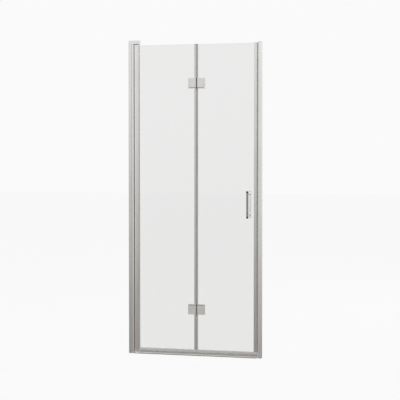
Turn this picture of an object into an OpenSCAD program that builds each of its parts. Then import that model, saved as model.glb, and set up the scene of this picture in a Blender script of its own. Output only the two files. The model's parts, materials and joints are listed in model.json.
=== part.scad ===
// Bifold shower door: a pivot panel and a handle panel that fold inwards between two wall profiles.
// Seen from outside the shower: +X to the right, +Y into the shower, +Z up.
// Origin: middle of the sill's underside, in the middle plane of the glass.

/* [Overall size] */
// Width over both wall channels
door_w = 800; // [700:10:1000]
// Height from the shower tray to the top of the pivot cap
door_h = 1850; // [1700:10:2100]
// Fold line between the two panels, measured from the middle of the door
fold_x = 12.5; // [-40:0.5:60]

/* [Glass] */
// Thickness of the glass
glass_t = 6; // [5:0.5:8]
// How far the glass stops below the tops of the stiles
glass_drop = 1.5; // [1:0.5:10]
// How deep the glass sits in the stiles
glass_grip = 6.8; // [6:0.1:12]
// Thickness of the rubber between glass and metal
gasket_t = 1; // [0.8:0.1:2]

/* [Wall profiles] */
// Depth of the wall channels, front to back
channel_depth = 32; // [28:1:40]
// How far the wall channels stand out from the wall
channel_reach = 19.2; // [18:0.1:30]
// Metal thickness of the wall channels
channel_wall = 2; // [1.5:0.1:3]
// How far the front of the wall channels flares out towards the wall
channel_flare = 1.4; // [0:0.1:3]
// Metal thickness of the jambs
jamb_wall = 1.6; // [1.2:0.1:2.4]
// Room behind the jambs for out-of-plumb walls
jamb_room = 3; // [2:0.5:6]
// How far the pivot jamb shows beyond its channel
pivot_jamb_show = 12.3; // [8:0.1:25]
// How far the strike jamb shows beyond its channel
strike_jamb_show = 0.5; // [0.5:0.5:20]
// Diameter of the wall-fixing holes
fix_hole_d = 5.5; // [4:0.5:7]
// Number of wall-fixing holes in each channel
fix_holes = 3; // [2:1:4]
// Distance of the outer wall-fixing holes from the ends of the channel
fix_end = 113; // [60:1:200]

/* [Jamb screws] */
// Diameter of the screws that lock the jambs in their channels
jamb_screw_d = 4; // [3:0.5:5]
// Head diameter of these screws
jamb_screw_head_d = 7.5; // [6:0.5:9]
// Head height of these screws
jamb_screw_head_h = 2; // [1.5:0.1:3]
// Screws in each jamb
jamb_screws_each = 3; // [2:1:4]
// Distance of the outer jamb screws from the ends of the channel
jamb_screw_end = 160; // [80:5:300]
// Distance of the jamb screws from the channel's open edge
jamb_screw_inset = 7.5; // [6.5:0.5:9]
// Diameter of the snap-on screw covers
screw_cover_d = 11; // [10.5:0.5:14]
// Wall thickness of the screw covers
screw_cover_wall = 1; // [0.8:0.1:1.4]

/* [Pivot] */
// Gap between the pivot jamb and the pivot stile
pivot_gap = 3.2; // [3:0.1:10]
// Depth of the pivot stile, front to back; its back is rounded about the pivot
stile_depth = 24; // [18:1:26]
// How far the front of the pivot stile falls back towards the glass
stile_taper = 1.6; // [0:0.1:2]
// Diameter of the pivot pins
pin_d = 8; // [6:0.5:9]
// How far each pivot pin reaches into its bush
pin_reach = 26; // [15:1:40]
// Wall thickness of the pivot bushes
bush_wall = 2.7; // [2:0.1:2.8]
// Length of the pivot bushes inside the stile
bush_len = 30; // [20:1:60]
// Thickness of the bush flanges
bush_flange_t = 1; // [0.8:0.1:1.5]
// Metal between the stile's bore and its glass slot
stile_web = 1.4; // [1:0.1:3]
// Height of the top pivot cap
cap_h = 24; // [20:1:40]
// Gap between the cap and the top of the panels
cap_gap = 2; // [1.8:0.1:4]
// Depth of the pin's seat in the top pivot cap
cap_seat = 17; // [12:1:18]
// Metal under the pin's seat in the bottom pivot shoe
shoe_floor = 4; // [3:0.5:8]
// How far the top pivot cap reaches past the stile
cap_overhang = 2.5; // [0:0.5:8]
// Thickness of the cap on the strike side
strike_cap_t = 1.5; // [1.5:0.1:4]
// Length of the spigots that hold both caps in the jambs
spigot_len = 18; // [10:1:30]

/* [Sill] */
// Height of the sill
sill_h = 17; // [16:0.5:28]
// Front edge of the sill, from the middle of the glass
sill_front = 20; // [19:0.5:40]
// Back edge of the sill, from the middle of the glass
sill_back = 17; // [15:1:26]
// Height of the sill's front lip
sill_lip_h = 4.5; // [3.5:0.5:5]
// Height of the ledge at the foot of the sill's riser
sill_ledge_h = 6.5; // [6.5:0.5:10]
// Front of the sill's riser, from the middle of the glass
sill_riser_y = 14; // [11:0.5:15.5]
// Wall thickness of the sill extrusion
sill_wall = 2; // [1.4:0.1:2.4]
// Height of the lugs that join both ends of the sill to the jambs
lug_h = 12; // [8:0.5:15]
// Depth of these lugs, front to back
lug_depth = 20; // [14:1:24]

/* [Bottom rails] */
// Gap between the sill and the bottom rails
rail_clear = 4; // [3.5:0.1:7]
// Height of the bottom rails
rail_h = 14; // [13:0.5:26]
// Depth of the bottom rails, front to back
rail_depth = 14; // [13:0.5:18]
// How far the front of the bottom rails falls back towards their tops
rail_taper = 0.5; // [0:0.1:1]
// Metal under the glass in the bottom rails
rail_floor = 6; // [5.5:0.1:8]
// Width of the groove along the front of the bottom rails
rail_groove = 2; // [1:0.1:3]
// Clearance of the wiper above the sill
wiper_gap = 0.4; // [0.3:0.1:0.8]

/* [Centre seals] */
// Width of the left centre seal, from its edge on the glass to the fold line
seal_left_w = 14.6; // [10:0.1:18]
// Width of the right centre seal, from its edge on the glass to the fold line
seal_right_w = 6.5; // [6.2:0.1:18]
// Thickness of the seal walls on the glass
seal_wall = 1.2; // [0.8:0.1:2]
// Radius of the hollow seal noses that meet at the fold line
seal_nose_r = 3.6; // [3:0.1:4]
// Distance of each glass edge from the fold line
glass_fold_gap = 5.5; // [5.2:0.1:7]

/* [Closing edge] */
// Width of the handle stile
edge_w = 20.5; // [13:0.5:25]
// Depth of the handle stile, front to back
edge_depth = 16; // [14:1:22]
// How far the front of the handle stile falls back towards the closing edge
edge_taper = 0.8; // [0:0.1:2]
// Radius of the two corners of the closing edge
edge_corner_r = 4.5; // [1:0.5:6]
// Gap between the handle stile and the strike jamb
strike_gap = 5.4; // [5:0.1:14]
// Width of the magnet strips
magnet_w = 10; // [8:0.5:12]
// Thickness of the magnet strip in the door
magnet_t = 4.6; // [3:0.1:5]
// How far the door's magnet strip stands out of the stile
magnet_out = 1.4; // [1:0.1:1.6]
// Thickness of the magnet strip on the strike jamb
strike_magnet_t = 2; // [1.5:0.1:2.8]

/* [Centre hinges] */
// Width of one hinge plate
plate_w = 47; // [40:1:60]
// Height of the hinge plates
plate_h = 62; // [50:1:90]
// Thickness of the hinge plates
plate_t = 5; // [4.5:0.1:7]
// How far the back plates stop short of the front plates' outer edges
back_set = 2.5; // [0:0.1:4]
// Width of the lower rim along three edges of the front plates
plate_rim = 5; // [3:0.5:8]
// Bevel along the outer edges of the hinge plates
plate_bevel = 0.8; // [0.3:0.1:1.2]
// Centre of the upper hinge below the tops of the stiles
hinge_from_top = 230; // [120:1:400]
// Centre of the lower hinge above the shower tray
hinge_from_tray = 272; // [150:1:450]
// Radius of the hinge knuckles
knuckle_r = 3.5; // [3.2:0.1:4]
// Height of the middle knuckle
knuckle_h = 30; // [16:0.5:36]
// Diameter of the hinge pins
hinge_pin_d = 4; // [3:0.1:4.6]
// Gap between the knuckles and the front plates
knuckle_gap = 0.5; // [0.4:0.1:1]
// Gap between the two back plates
back_gap = 2; // [1:0.1:6]
// Diameter of the hinge screws
hinge_screw_d = 5; // [4:0.5:6]
// Distance of the hinge screws from the fold line
hinge_screw_u = 36; // [31:1:40]
// Distance between the two screws of a plate
hinge_screw_pitch = 32; // [24:1:38]
// Wall thickness of the sleeves in the drilled glass
sleeve_wall = 1.5; // [1:0.1:2]
// How far each core's tongue reaches from the fold line
tongue_reach = 19; // [15:1:24]
// Height of the tongues in their glass notches
tongue_h = 43; // [30:1:46]

/* [Handle] */
// Height of the handle's centre above the shower tray
handle_z = 889.5; // [700:0.5:1200]
// Distance of the handle from the handle stile
handle_inset = 31.5; // [25:0.5:80]
// Length of the grips
grip_len = 157; // [120:1:300]
// Width of the outer grip
grip_w = 12; // [10:1:20]
// Width of the inner grip
inner_grip_w = 10; // [5:0.5:20]
// Depth of the grips
grip_depth = 12; // [10:1:16]
// Clear depth for the fingers between glass and grip
finger_room = 33; // [22:1:45]
// Distance of the posts' centres from the ends of the grips
post_inset = 16.5; // [16:0.5:40]
// Diameter of the posts
post_d = 10; // [10:0.5:12.5]
// Thickness of the plugs that close both ends of the outer grip
plug_t = 10; // [4:0.5:11]
// Diameter of the studs that join the two grips
stud_d = 6; // [5:0.5:8]
// Distance of the studs' ends from the flat sides of the grips
stud_end = 8; // [4:1:12]
// Diameter of the washers on the glass
washer_d = 13; // [12:0.5:22]
// Thickness of the washers on the glass
washer_t = 1.2; // [0.8:0.1:2]

/* [Clearances] */
// Clearance between sliding or standing metal pieces
slide_gap = 0.3; // [0.2:0.05:0.5]
// Clearance of seats and gaskets inside one panel
seat_gap = 0.1; // [0.05:0.01:0.15]
// Radial clearance of the pivot and hinge pins
run_gap = 0.05; // [0.02:0.01:0.09]
// Gap between seals that pass each other
seal_gap = 0.3; // [0.3:0.05:0.6]

/* [Hidden] */
$fn = 64;
eps = 0.01;
nickel = [0.74, 0.73, 0.70];
nickel_dark = [0.58, 0.57, 0.54];
steel = [0.66, 0.67, 0.68];
glass_tint = [0.80, 0.87, 0.85, 0.45];
seal_grey = [0.62, 0.62, 0.60];
rubber_black = [0.12, 0.12, 0.12];
nylon_white = [0.88, 0.88, 0.85];
core_black = [0.17, 0.17, 0.16];

// Places across the door
x_wall = door_w / 2;
x_channel = x_wall - channel_reach;
x_pivot_jamb = -x_channel + pivot_jamb_show;
x_strike_jamb = x_channel - strike_jamb_show;
x_shoe = x_pivot_jamb + pivot_gap;
x_pivot = x_shoe + stile_depth / 2;
bush_r = pin_d / 2 + run_gap + bush_wall;
stile_bore_r = bush_r + seat_gap;
x_slot_pivot = x_pivot + stile_bore_r + stile_web;
x_stile = x_slot_pivot + glass_grip;
x_edge_out = x_strike_jamb - strike_gap;
x_edge_in = x_edge_out - edge_w;
x_handle = x_edge_in - handle_inset;

// Heights
z_profile = door_h - cap_h;
z_panel_top = z_profile - cap_gap;
z_rail = sill_h + rail_clear;
z_rail_top = z_rail + rail_h;
z_glass = z_rail + rail_floor + seat_gap;
z_glass_top = z_panel_top - glass_drop;
hinge_z = [z_panel_top - hinge_from_top, hinge_from_tray];
screw_step = (z_profile - 2 * jamb_screw_end) / (jamb_screws_each - 1);
jamb_screw_z = [for (i = [0 : jamb_screws_each - 1]) jamb_screw_end + i * screw_step];
fix_step = (z_profile - 2 * fix_end) / (fix_holes - 1);
fix_z = [for (i = [0 : fix_holes - 1]) fix_end + i * fix_step];

// Depths, as distances from the middle of the glass
channel_y = channel_depth / 2;
jamb_y = channel_y - channel_wall - slide_gap;
glass_y = glass_t / 2;
slot_y = glass_y + gasket_t;
plate_y = slot_y + plate_t;
axis_y = -plate_y;
seal_y = glass_y + seat_gap + seal_wall;
grip_y = glass_y + finger_room;
cap_front_y = -channel_y - channel_flare;

// Hinge details, with u as the distance from the fold line
plate_u = knuckle_r + knuckle_gap;
spine_u = glass_fold_gap - seal_gap;
core_y = slot_y - seat_gap;
notch_u = tongue_reach + seal_gap;
notch_h = tongue_h + 2 * seal_gap;
sleeve_r = hinge_screw_d / 2 + seat_gap + sleeve_wall;
glass_hole_r = sleeve_r + seat_gap;
hinge_head_r = hinge_screw_d * 0.9;
hinge_screw_bite = plate_t - 1.5;
hinge_head_sink = 0.4;
pad_inset = 0.3;
rim_step = 1;
pin_head_t = 1;
pin_head_r = knuckle_r - 0.5;

// Handle details
post_pitch = grip_len - 2 * post_inset;
plug_pin_r = 2;
plug_pin_len = 6;

// Softened corners of the extrusions
profile_r = 1.2;
stile_ease = 1;
rail_ease = 0.8;

// Keyway for the wiper's head, in the underside of the bottom rails
key_y = 2.2;
key_neck_y = 1.2;
key_z = 1;
key_top = rail_floor - 1.4;

// ---- Shared shapes ----

// Rectangle from low corner to high corner, with its four corners cut off
module cut_rect(low, high, c) {
    polygon([
        [low[0] + c, low[1]], [high[0] - c, low[1]], [high[0], low[1] + c], [high[0], high[1] - c],
        [high[0] - c, high[1]], [low[0] + c, high[1]], [low[0], high[1] - c], [low[0], low[1] + c]
    ]);
}

// Rectangle from low corner to high corner, with its four corners rounded by r
module soft_rect(low, high, r) {
    translate([low[0] + r, low[1]]) square([high[0] - low[0] - 2 * r, high[1] - low[1]]);
    translate([low[0], low[1] + r]) square([high[0] - low[0], high[1] - low[1] - 2 * r]);
    for (x = [low[0] + r, high[0] - r], y = [low[1] + r, high[1] - r])
        translate([x, y]) circle(r = r);
}

// Box from low corner to high corner
module box(low, high) {
    translate(low) cube(high - low);
}

// Box with all twelve edges bevelled by c
module bevel_box(low, high, c) {
    intersection() {
        translate([0, 0, low[2]]) linear_extrude(high[2] - low[2])
            cut_rect([low[0], low[1]], [high[0], high[1]], c);
        translate([0, high[1], 0]) rotate([90, 0, 0]) linear_extrude(high[1] - low[1])
            cut_rect([low[0], low[2]], [high[0], high[2]], c);
        translate([low[0], 0, 0]) rotate([90, 0, 90]) linear_extrude(high[0] - low[0])
            cut_rect([low[1], low[2]], [high[1], high[2]], c);
    }
}

// Upright extrusion of a plan outline between two heights
module upright(z_low, z_high) {
    translate([0, 0, z_low]) linear_extrude(z_high - z_low) children();
}

// Extrusion along X of an outline drawn in Y and Z
module lengthwise(x_low, x_high) {
    translate([x_low, 0, 0]) rotate([90, 0, 90]) linear_extrude(x_high - x_low) children();
}

// Round bar along Y between two depths
module bar_y(x, z, r, y_low, y_high) {
    translate([x, y_high, z]) rotate([90, 0, 0]) cylinder(r = r, h = y_high - y_low);
}

// Puts a shape drawn for one side of the fold line on side -1 (left) or 1 (right)
module at_fold(side, z) {
    translate([fold_x, 0, z]) mirror([side < 0 ? 1 : 0, 0, 0]) children();
}

// ---- Wall profiles ----

// Outer plan of a wall channel: its front flares towards the wall and its lips are rounded
module channel_outline() {
    x_round = channel_reach - profile_r;
    y_round = channel_y - profile_r;
    polygon([[0, -channel_y - channel_flare], [x_round, -channel_y], [x_round, channel_y], [0, channel_y]]);
    translate([x_round - eps, -y_round]) square([profile_r + eps, 2 * y_round]);
    for (y = [-y_round, y_round]) translate([x_round, y]) circle(r = profile_r);
}

// U channel against the wall at x = 0, opening towards +X
module wall_channel() {
    color(nickel) difference() {
        upright(0, z_profile) channel_outline();
        upright(-1, z_profile + 1) translate([channel_wall, channel_wall - channel_y])
            square([channel_reach, channel_depth - 2 * channel_wall]);
        for (z = fix_z) translate([-1, 0, z]) rotate([0, 90, 0])
            cylinder(d = fix_hole_d, h = channel_wall + 2);
        for (z = jamb_screw_z) bar_y(channel_reach - jamb_screw_inset, z,
            jamb_screw_d / 2 + seat_gap, channel_y - channel_wall - 1, channel_y + 1);
    }
}

module wall_channel_left() {
    translate([-x_wall, 0, 0]) wall_channel();
}

module wall_channel_right() {
    mirror([1, 0, 0]) wall_channel_left();
}

// Box profile that slides in a channel and shows by the given amount
module jamb(show) {
    color(nickel) difference() {
        upright(0, z_profile) soft_rect([channel_wall + jamb_room, -jamb_y],
            [channel_reach + show, jamb_y], profile_r);
        upright(-1, z_profile + 1) translate([channel_wall + jamb_room + jamb_wall, jamb_wall - jamb_y])
            square([channel_reach + show - channel_wall - jamb_room - 2 * jamb_wall,
                2 * (jamb_y - jamb_wall)]);
        for (z = jamb_screw_z) bar_y(channel_reach - jamb_screw_inset, z,
            jamb_screw_d / 2 + seat_gap, jamb_y - jamb_wall - 1, jamb_y + 1);
    }
}

module pivot_jamb() {
    translate([-x_wall, 0, 0]) jamb(pivot_jamb_show);
}

module strike_jamb() {
    mirror([1, 0, 0]) translate([-x_wall, 0, 0]) jamb(strike_jamb_show);
}

// Runs its child at every jamb screw, on both sides of the door
module at_jamb_screws() {
    for (side = [-1, 1], z = jamb_screw_z)
        translate([side * (x_channel + jamb_screw_inset), channel_y, z]) rotate([-90, 0, 0]) children();
}

module jamb_screws() {
    shank = channel_wall + slide_gap + jamb_wall + 2;
    color(steel) at_jamb_screws() {
        translate([0, 0, -shank]) cylinder(d = jamb_screw_d, h = shank + eps);
        difference() {
            cylinder(d = jamb_screw_head_d, h = jamb_screw_head_h);
            translate([0, 0, jamb_screw_head_h - 1]) cylinder(d = jamb_screw_d * 0.7, h = 2, $fn = 6);
        }
    }
}

module jamb_screw_covers() {
    room = jamb_screw_head_h + 2 * seat_gap;
    color(nickel_dark) at_jamb_screws() difference() {
        union() {
            cylinder(d = screw_cover_d, h = room);
            translate([0, 0, room])
                cylinder(d1 = screw_cover_d, d2 = screw_cover_d - 2, h = screw_cover_wall);
        }
        translate([0, 0, -1]) cylinder(d = screw_cover_d - 2 * screw_cover_wall, h = room + 1);
    }
}

// Soft strip on the pivot jamb, with a round nose just clear of the stile
module pivot_seal() {
    base_t = 1.6;
    nose_r = pivot_gap - seal_gap - base_t;
    color(rubber_black) upright(lug_h + slide_gap, z_panel_top) translate([x_pivot_jamb, 0]) {
        translate([0, -nose_r - 1.5]) square([base_t, 2 * nose_r + 3]);
        translate([base_t, 0]) intersection() {
            circle(r = nose_r);
            translate([-eps, -nose_r - 1]) square(2 * nose_r + 2);
        }
    }
}

module strike_magnet() {
    color(rubber_black) upright(lug_h + slide_gap, z_panel_top)
        cut_rect([x_strike_jamb - strike_magnet_t, -magnet_w / 2 - 1],
            [x_strike_jamb, magnet_w / 2 + 1], 0.8);
}

// ---- Caps, pins, sill ----

// Plug that drops into a jamb from above, for a jamb that shows by the given amount
module spigot(show) {
    x_low = channel_wall + jamb_room + jamb_wall + slide_gap;
    x_high = channel_reach + show - jamb_wall - slide_gap;
    y_half = jamb_y - jamb_wall - slide_gap;
    box([x_low, -y_half, z_profile - spigot_len], [x_high, y_half, z_profile + eps]);
}

module top_pivot_cap() {
    color(nickel) difference() {
        union() {
            bevel_box([-x_wall, cap_front_y, z_profile],
                [x_stile + cap_overhang, channel_y, door_h], 0.6);
            translate([-x_wall, 0, 0]) spigot(pivot_jamb_show);
        }
        translate([x_pivot, 0, z_profile - 1]) cylinder(d = pin_d + 2 * run_gap, h = cap_seat + 1);
    }
}

module top_pivot_pin() {
    color(steel) translate([x_pivot, 0, z_panel_top - pin_reach])
        cylinder(d = pin_d, h = pin_reach + cap_gap + cap_seat - seat_gap);
}

module strike_top_cap() {
    color(nickel) mirror([1, 0, 0]) union() {
        bevel_box([-x_wall, cap_front_y, z_profile],
            [-x_strike_jamb, channel_y, z_profile + strike_cap_t], 0.4);
        translate([-x_wall, 0, 0]) spigot(strike_jamb_show);
    }
}

// Outline of the sill in Y and Z: front lip, ledge, riser and flat top
module sill_outline() {
    polygon([
        [-sill_front, 0], [-sill_front, sill_lip_h], [1.5 - sill_front, sill_lip_h + 1.2],
        [-sill_riser_y - 1, sill_ledge_h], [-sill_riser_y, sill_ledge_h + 1],
        [-sill_riser_y, sill_h - 1.2], [1.2 - sill_riser_y, sill_h],
        [sill_back - 1.2, sill_h], [sill_back, sill_h - 1.2], [sill_back, 0]
    ]);
}

module sill() {
    color(nickel) lengthwise(x_stile + slide_gap, x_edge_in - slide_gap) difference() {
        sill_outline();
        translate([sill_wall - sill_riser_y, sill_wall])
            square([sill_riser_y + sill_back - 2 * sill_wall, sill_h - 2 * sill_wall]);
    }
}

// Lug between an end of the sill and its jamb, under the seal in that gap
module lug(x_low, x_high) {
    box([x_low, -lug_depth / 2, 0], [x_high, lug_depth / 2, lug_h]);
}

module bottom_pivot_shoe() {
    color(nickel) difference() {
        union() {
            lengthwise(x_shoe, x_stile) sill_outline();
            lug(x_pivot_jamb + slide_gap, x_shoe + eps);
        }
        translate([x_pivot, 0, shoe_floor]) cylinder(d = pin_d + 2 * run_gap, h = sill_h);
    }
}

module sill_end_block() {
    color(nickel) union() {
        lengthwise(x_edge_in, x_edge_out) sill_outline();
        lug(x_edge_out - eps, x_strike_jamb - slide_gap);
    }
}

module bottom_pivot_pin() {
    color(steel) translate([x_pivot, 0, shoe_floor + seat_gap])
        cylinder(d = pin_d, h = z_rail + pin_reach - shoe_floor - seat_gap);
}

module pivot_washer() {
    color(nylon_white) translate([x_pivot, 0, sill_h]) difference() {
        cylinder(r = bush_r + 1.5, h = rail_clear - bush_flange_t - 2 * seat_gap);
        translate([0, 0, -1]) cylinder(d = pin_d + 2 * seat_gap, h = rail_clear + 2);
    }
}

// ---- Pivot stile ----

// Plan of the pivot stile: square towards the jamb in front, round about the pivot behind
module stile_outline() {
    half = stile_depth / 2;
    translate([x_pivot, 0]) circle(r = half, $fn = 96);
    polygon([
        [x_shoe, 0], [x_shoe, stile_ease - half], [x_shoe + stile_ease, -half], [x_pivot, -half],
        [x_stile - stile_ease, stile_taper - half], [x_stile, stile_taper + stile_ease - half],
        [x_stile, half - stile_ease], [x_stile - stile_ease, half], [x_pivot, half]
    ]);
}

module pivot_stile() {
    color(nickel) upright(z_rail, z_panel_top) difference() {
        stile_outline();
        translate([x_pivot, 0]) circle(r = stile_bore_r);
        translate([x_slot_pivot, -slot_y]) square([glass_grip + 1, 2 * slot_y]);
    }
}

// U-shaped rubber in a glass slot whose floor is at x = 0, opening towards +X
module slot_gasket() {
    color(rubber_black) upright(z_glass, z_glass_top) difference() {
        translate([seat_gap, seat_gap - slot_y]) square([glass_grip - seat_gap, 2 * (slot_y - seat_gap)]);
        translate([gasket_t, -glass_y - seat_gap]) square([glass_grip, glass_t + 2 * seat_gap]);
    }
}

module pivot_stile_gasket() {
    translate([x_slot_pivot, 0, 0]) slot_gasket();
}

// Flanged bush with its flange's outer face at z = 0, reaching down into the stile
module stile_bush() {
    color(nylon_white) difference() {
        union() {
            translate([0, 0, -bush_flange_t]) cylinder(r = bush_r + 1.5, h = bush_flange_t);
            translate([0, 0, -bush_flange_t - bush_len]) cylinder(r = bush_r, h = bush_len + eps);
        }
        translate([0, 0, -bush_flange_t - bush_len - 1])
            cylinder(d = pin_d + 2 * run_gap, h = bush_flange_t + bush_len + 2);
    }
}

module stile_top_bush() {
    translate([x_pivot, 0, z_panel_top + bush_flange_t]) stile_bush();
}

module stile_bottom_bush() {
    translate([x_pivot, 0, z_rail - bush_flange_t]) mirror([0, 0, 1]) stile_bush();
}

// ---- Glass ----

// Glass from the fold edge to u_out, measured from the fold line
module glass_panel(side, u_out) {
    color(glass_tint) difference() {
        at_fold(side, 0) box([glass_fold_gap, -glass_y, z_glass], [u_out, glass_y, z_glass_top]);
        for (z = hinge_z) at_fold(side, z) {
            box([glass_fold_gap - 1, -glass_t, -notch_h / 2], [notch_u, glass_t, notch_h / 2]);
            for (k = [-1, 1])
                bar_y(hinge_screw_u, k * hinge_screw_pitch / 2, glass_hole_r, -glass_t, glass_t);
        }
        children();
    }
}

module left_glass() {
    glass_panel(-1, fold_x - x_slot_pivot - gasket_t - seat_gap);
}

module right_glass() {
    glass_panel(1, x_edge_in + glass_grip - gasket_t - seat_gap - fold_x)
        for (k = [-1, 1]) bar_y(x_handle, handle_z + k * post_pitch / 2,
            stud_d / 2 + 1, -glass_t, glass_t);
}

// ---- Bottom rails and wipers ----

module bottom_rail(x_low, x_high) {
    half = rail_depth / 2;
    slot = glass_y + seat_gap;
    groove_z = rail_floor + 1;
    color(nickel) lengthwise(x_low, x_high) translate([0, z_rail]) difference() {
        polygon([
            [-half, rail_ease], [rail_ease - half, 0], [half - rail_ease, 0], [half, rail_ease],
            [half, rail_h - rail_ease], [half - rail_ease, rail_h],
            [rail_taper + rail_ease - half, rail_h], [rail_taper - half, rail_h - rail_ease]
        ]);
        translate([-slot, rail_floor]) square([2 * slot, rail_h]);
        translate([-half - 1, groove_z - rail_groove / 2]) square([2, rail_groove]);
        translate([-key_y, key_z]) square([2 * key_y, key_top - key_z]);
        translate([-key_neck_y, -1]) square([2 * key_neck_y, key_z + 2]);
    }
}

module left_bottom_rail() {
    bottom_rail(x_stile + slide_gap, fold_x - seal_gap);
}

module right_bottom_rail() {
    bottom_rail(fold_x + seal_gap, x_edge_out);
}

// Wiper with a head in the rail's keyway and two lips over the sill
module wiper(x_low, x_high) {
    head_y = key_y - seat_gap;
    neck_y = key_neck_y - seat_gap;
    head_z = key_z + seat_gap;
    head_top = key_top - seat_gap;
    lip_t = 0.9;
    lip_y = 4;
    lip_z = wiper_gap - rail_clear;
    root_z = -seat_gap;
    color(seal_grey) lengthwise(x_low, x_high) translate([0, z_rail]) polygon([
        [-head_y, head_z], [-neck_y, head_z], [-neck_y, root_z], [-neck_y - 1, root_z],
        [-lip_y, lip_z], [lip_t - lip_y, lip_z], [-0.6, root_z - 1], [0.6, root_z - 1],
        [lip_y - lip_t, lip_z], [lip_y, lip_z], [neck_y + 1, root_z], [neck_y, root_z],
        [neck_y, head_z], [head_y, head_z], [head_y, head_top], [-head_y, head_top]
    ]);
}

module left_wiper() {
    wiper(x_stile + slide_gap, fold_x - seal_gap);
}

module right_wiper() {
    wiper(fold_x + seal_gap, x_edge_out);
}

// ---- Centre seals ----

// Plan of a seal on one glass edge, with its hollow nose at the fold line
module seal_outline(seal_w) {
    nose_u = seal_gap + seal_nose_r;
    nose_wall = 0.9;
    difference() {
        union() {
            translate([nose_u, -seal_y]) square([seal_w - nose_u, 2 * seal_y]);
            translate([nose_u, 0]) circle(r = seal_nose_r);
        }
        intersection() {
            translate([nose_u, 0]) circle(r = seal_nose_r - nose_wall);
            translate([0, -seal_y]) square([glass_fold_gap - seat_gap - nose_wall, 2 * seal_y]);
        }
        translate([glass_fold_gap - seat_gap, -glass_y - seat_gap])
            square([seal_w, glass_t + 2 * seat_gap]);
    }
}

module centre_seal(side, seal_w) {
    ends = [z_rail_top + slide_gap, hinge_z[1] - plate_h / 2 - slide_gap,
        hinge_z[1] + plate_h / 2 + slide_gap, hinge_z[0] - plate_h / 2 - slide_gap,
        hinge_z[0] + plate_h / 2 + pin_head_t + slide_gap, z_panel_top];
    color(seal_grey) at_fold(side, 0)
        for (i = [0, 2, 4]) upright(ends[i], ends[i + 1]) seal_outline(seal_w);
}

module left_centre_seal() {
    centre_seal(-1, seal_left_w);
}

module right_centre_seal() {
    centre_seal(1, seal_right_w);
}

// ---- Centre hinges ----

module hinge_front(side, z) {
    color(nickel) at_fold(side, z) difference() {
        union() {
            bevel_box([plate_u, rim_step - plate_y, -plate_h / 2],
                [plate_u + plate_w, -slot_y, plate_h / 2], plate_bevel);
            bevel_box([plate_u, -plate_y, plate_rim - plate_h / 2],
                [plate_u + plate_w - plate_rim, -slot_y - 1, plate_h / 2 - plate_rim], rim_step / 2);
        }
        for (k = [-1, 1]) bar_y(hinge_screw_u, k * hinge_screw_pitch / 2,
            hinge_screw_d / 2 + seat_gap, -slot_y - hinge_screw_bite - seat_gap, 0);
    }
}

module hinge_back(side, z) {
    color(nickel) at_fold(side, z) difference() {
        bevel_box([back_gap / 2, slot_y, back_set - plate_h / 2],
            [plate_u + plate_w - back_set, plate_y, plate_h / 2 - back_set], plate_bevel);
        for (k = [-1, 1]) {
            bar_y(hinge_screw_u, k * hinge_screw_pitch / 2, hinge_screw_d / 2 + seat_gap, 0, plate_y + 1);
            bar_y(hinge_screw_u, k * hinge_screw_pitch / 2, hinge_head_r + seat_gap,
                plate_y - plate_t / 2, plate_y + 1);
        }
    }
}

// Core with a spine between the glass edges, a tongue in the notch and arms to its knuckles
module hinge_core(side, z, bands) {
    color(core_black) at_fold(side, z) difference() {
        union() {
            box([seal_gap, -core_y, -plate_h / 2], [spine_u, core_y, plate_h / 2]);
            box([seal_gap, -core_y, -tongue_h / 2], [tongue_reach, core_y, tongue_h / 2]);
            for (b = bands) {
                box([0.2, axis_y, b[0]], [plate_u - 0.2, -core_y + eps, b[1]]);
                translate([0, axis_y, b[0]]) cylinder(r = knuckle_r, h = b[1] - b[0]);
            }
        }
        translate([0, axis_y, -plate_h]) cylinder(d = hinge_pin_d + 2 * run_gap, h = 2 * plate_h);
    }
}

outer_bands = [[-plate_h / 2, -knuckle_h / 2 - slide_gap], [knuckle_h / 2 + slide_gap, plate_h / 2]];
middle_band = [[-knuckle_h / 2, knuckle_h / 2]];

module hinge_pin(z) {
    color(steel) translate([fold_x, axis_y, z]) {
        translate([0, 0, -plate_h / 2]) cylinder(d = hinge_pin_d, h = plate_h + eps);
        translate([0, 0, plate_h / 2]) cylinder(r = pin_head_r, h = pin_head_t);
    }
}

module upper_hinge_front_left() { hinge_front(-1, hinge_z[0]); }
module upper_hinge_back_left() { hinge_back(-1, hinge_z[0]); }
module upper_hinge_core_left() { hinge_core(-1, hinge_z[0], outer_bands); }
module upper_hinge_pin() { hinge_pin(hinge_z[0]); }
module lower_hinge_front_left() { hinge_front(-1, hinge_z[1]); }
module lower_hinge_back_left() { hinge_back(-1, hinge_z[1]); }
module lower_hinge_core_left() { hinge_core(-1, hinge_z[1], outer_bands); }
module lower_hinge_pin() { hinge_pin(hinge_z[1]); }
module upper_hinge_front_right() { hinge_front(1, hinge_z[0]); }
module upper_hinge_back_right() { hinge_back(1, hinge_z[0]); }
module upper_hinge_core_right() { hinge_core(1, hinge_z[0], middle_band); }
module lower_hinge_front_right() { hinge_front(1, hinge_z[1]); }
module lower_hinge_back_right() { hinge_back(1, hinge_z[1]); }
module lower_hinge_core_right() { hinge_core(1, hinge_z[1], middle_band); }

// Rubber pads between the plates and the glass, on both faces of both hinges
module hinge_pads(side) {
    color(rubber_black) for (z = hinge_z, face = [-1, 1]) at_fold(side, z) difference() {
        inset = pad_inset + (face > 0 ? back_set : 0);
        box([notch_u, face > 0 ? glass_y : -slot_y, inset - plate_h / 2],
            [plate_u + plate_w - inset, face > 0 ? slot_y : -glass_y, plate_h / 2 - inset]);
        for (k = [-1, 1]) bar_y(hinge_screw_u, k * hinge_screw_pitch / 2,
            hinge_screw_d / 2 + seat_gap, -plate_y, plate_y);
    }
}

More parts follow.
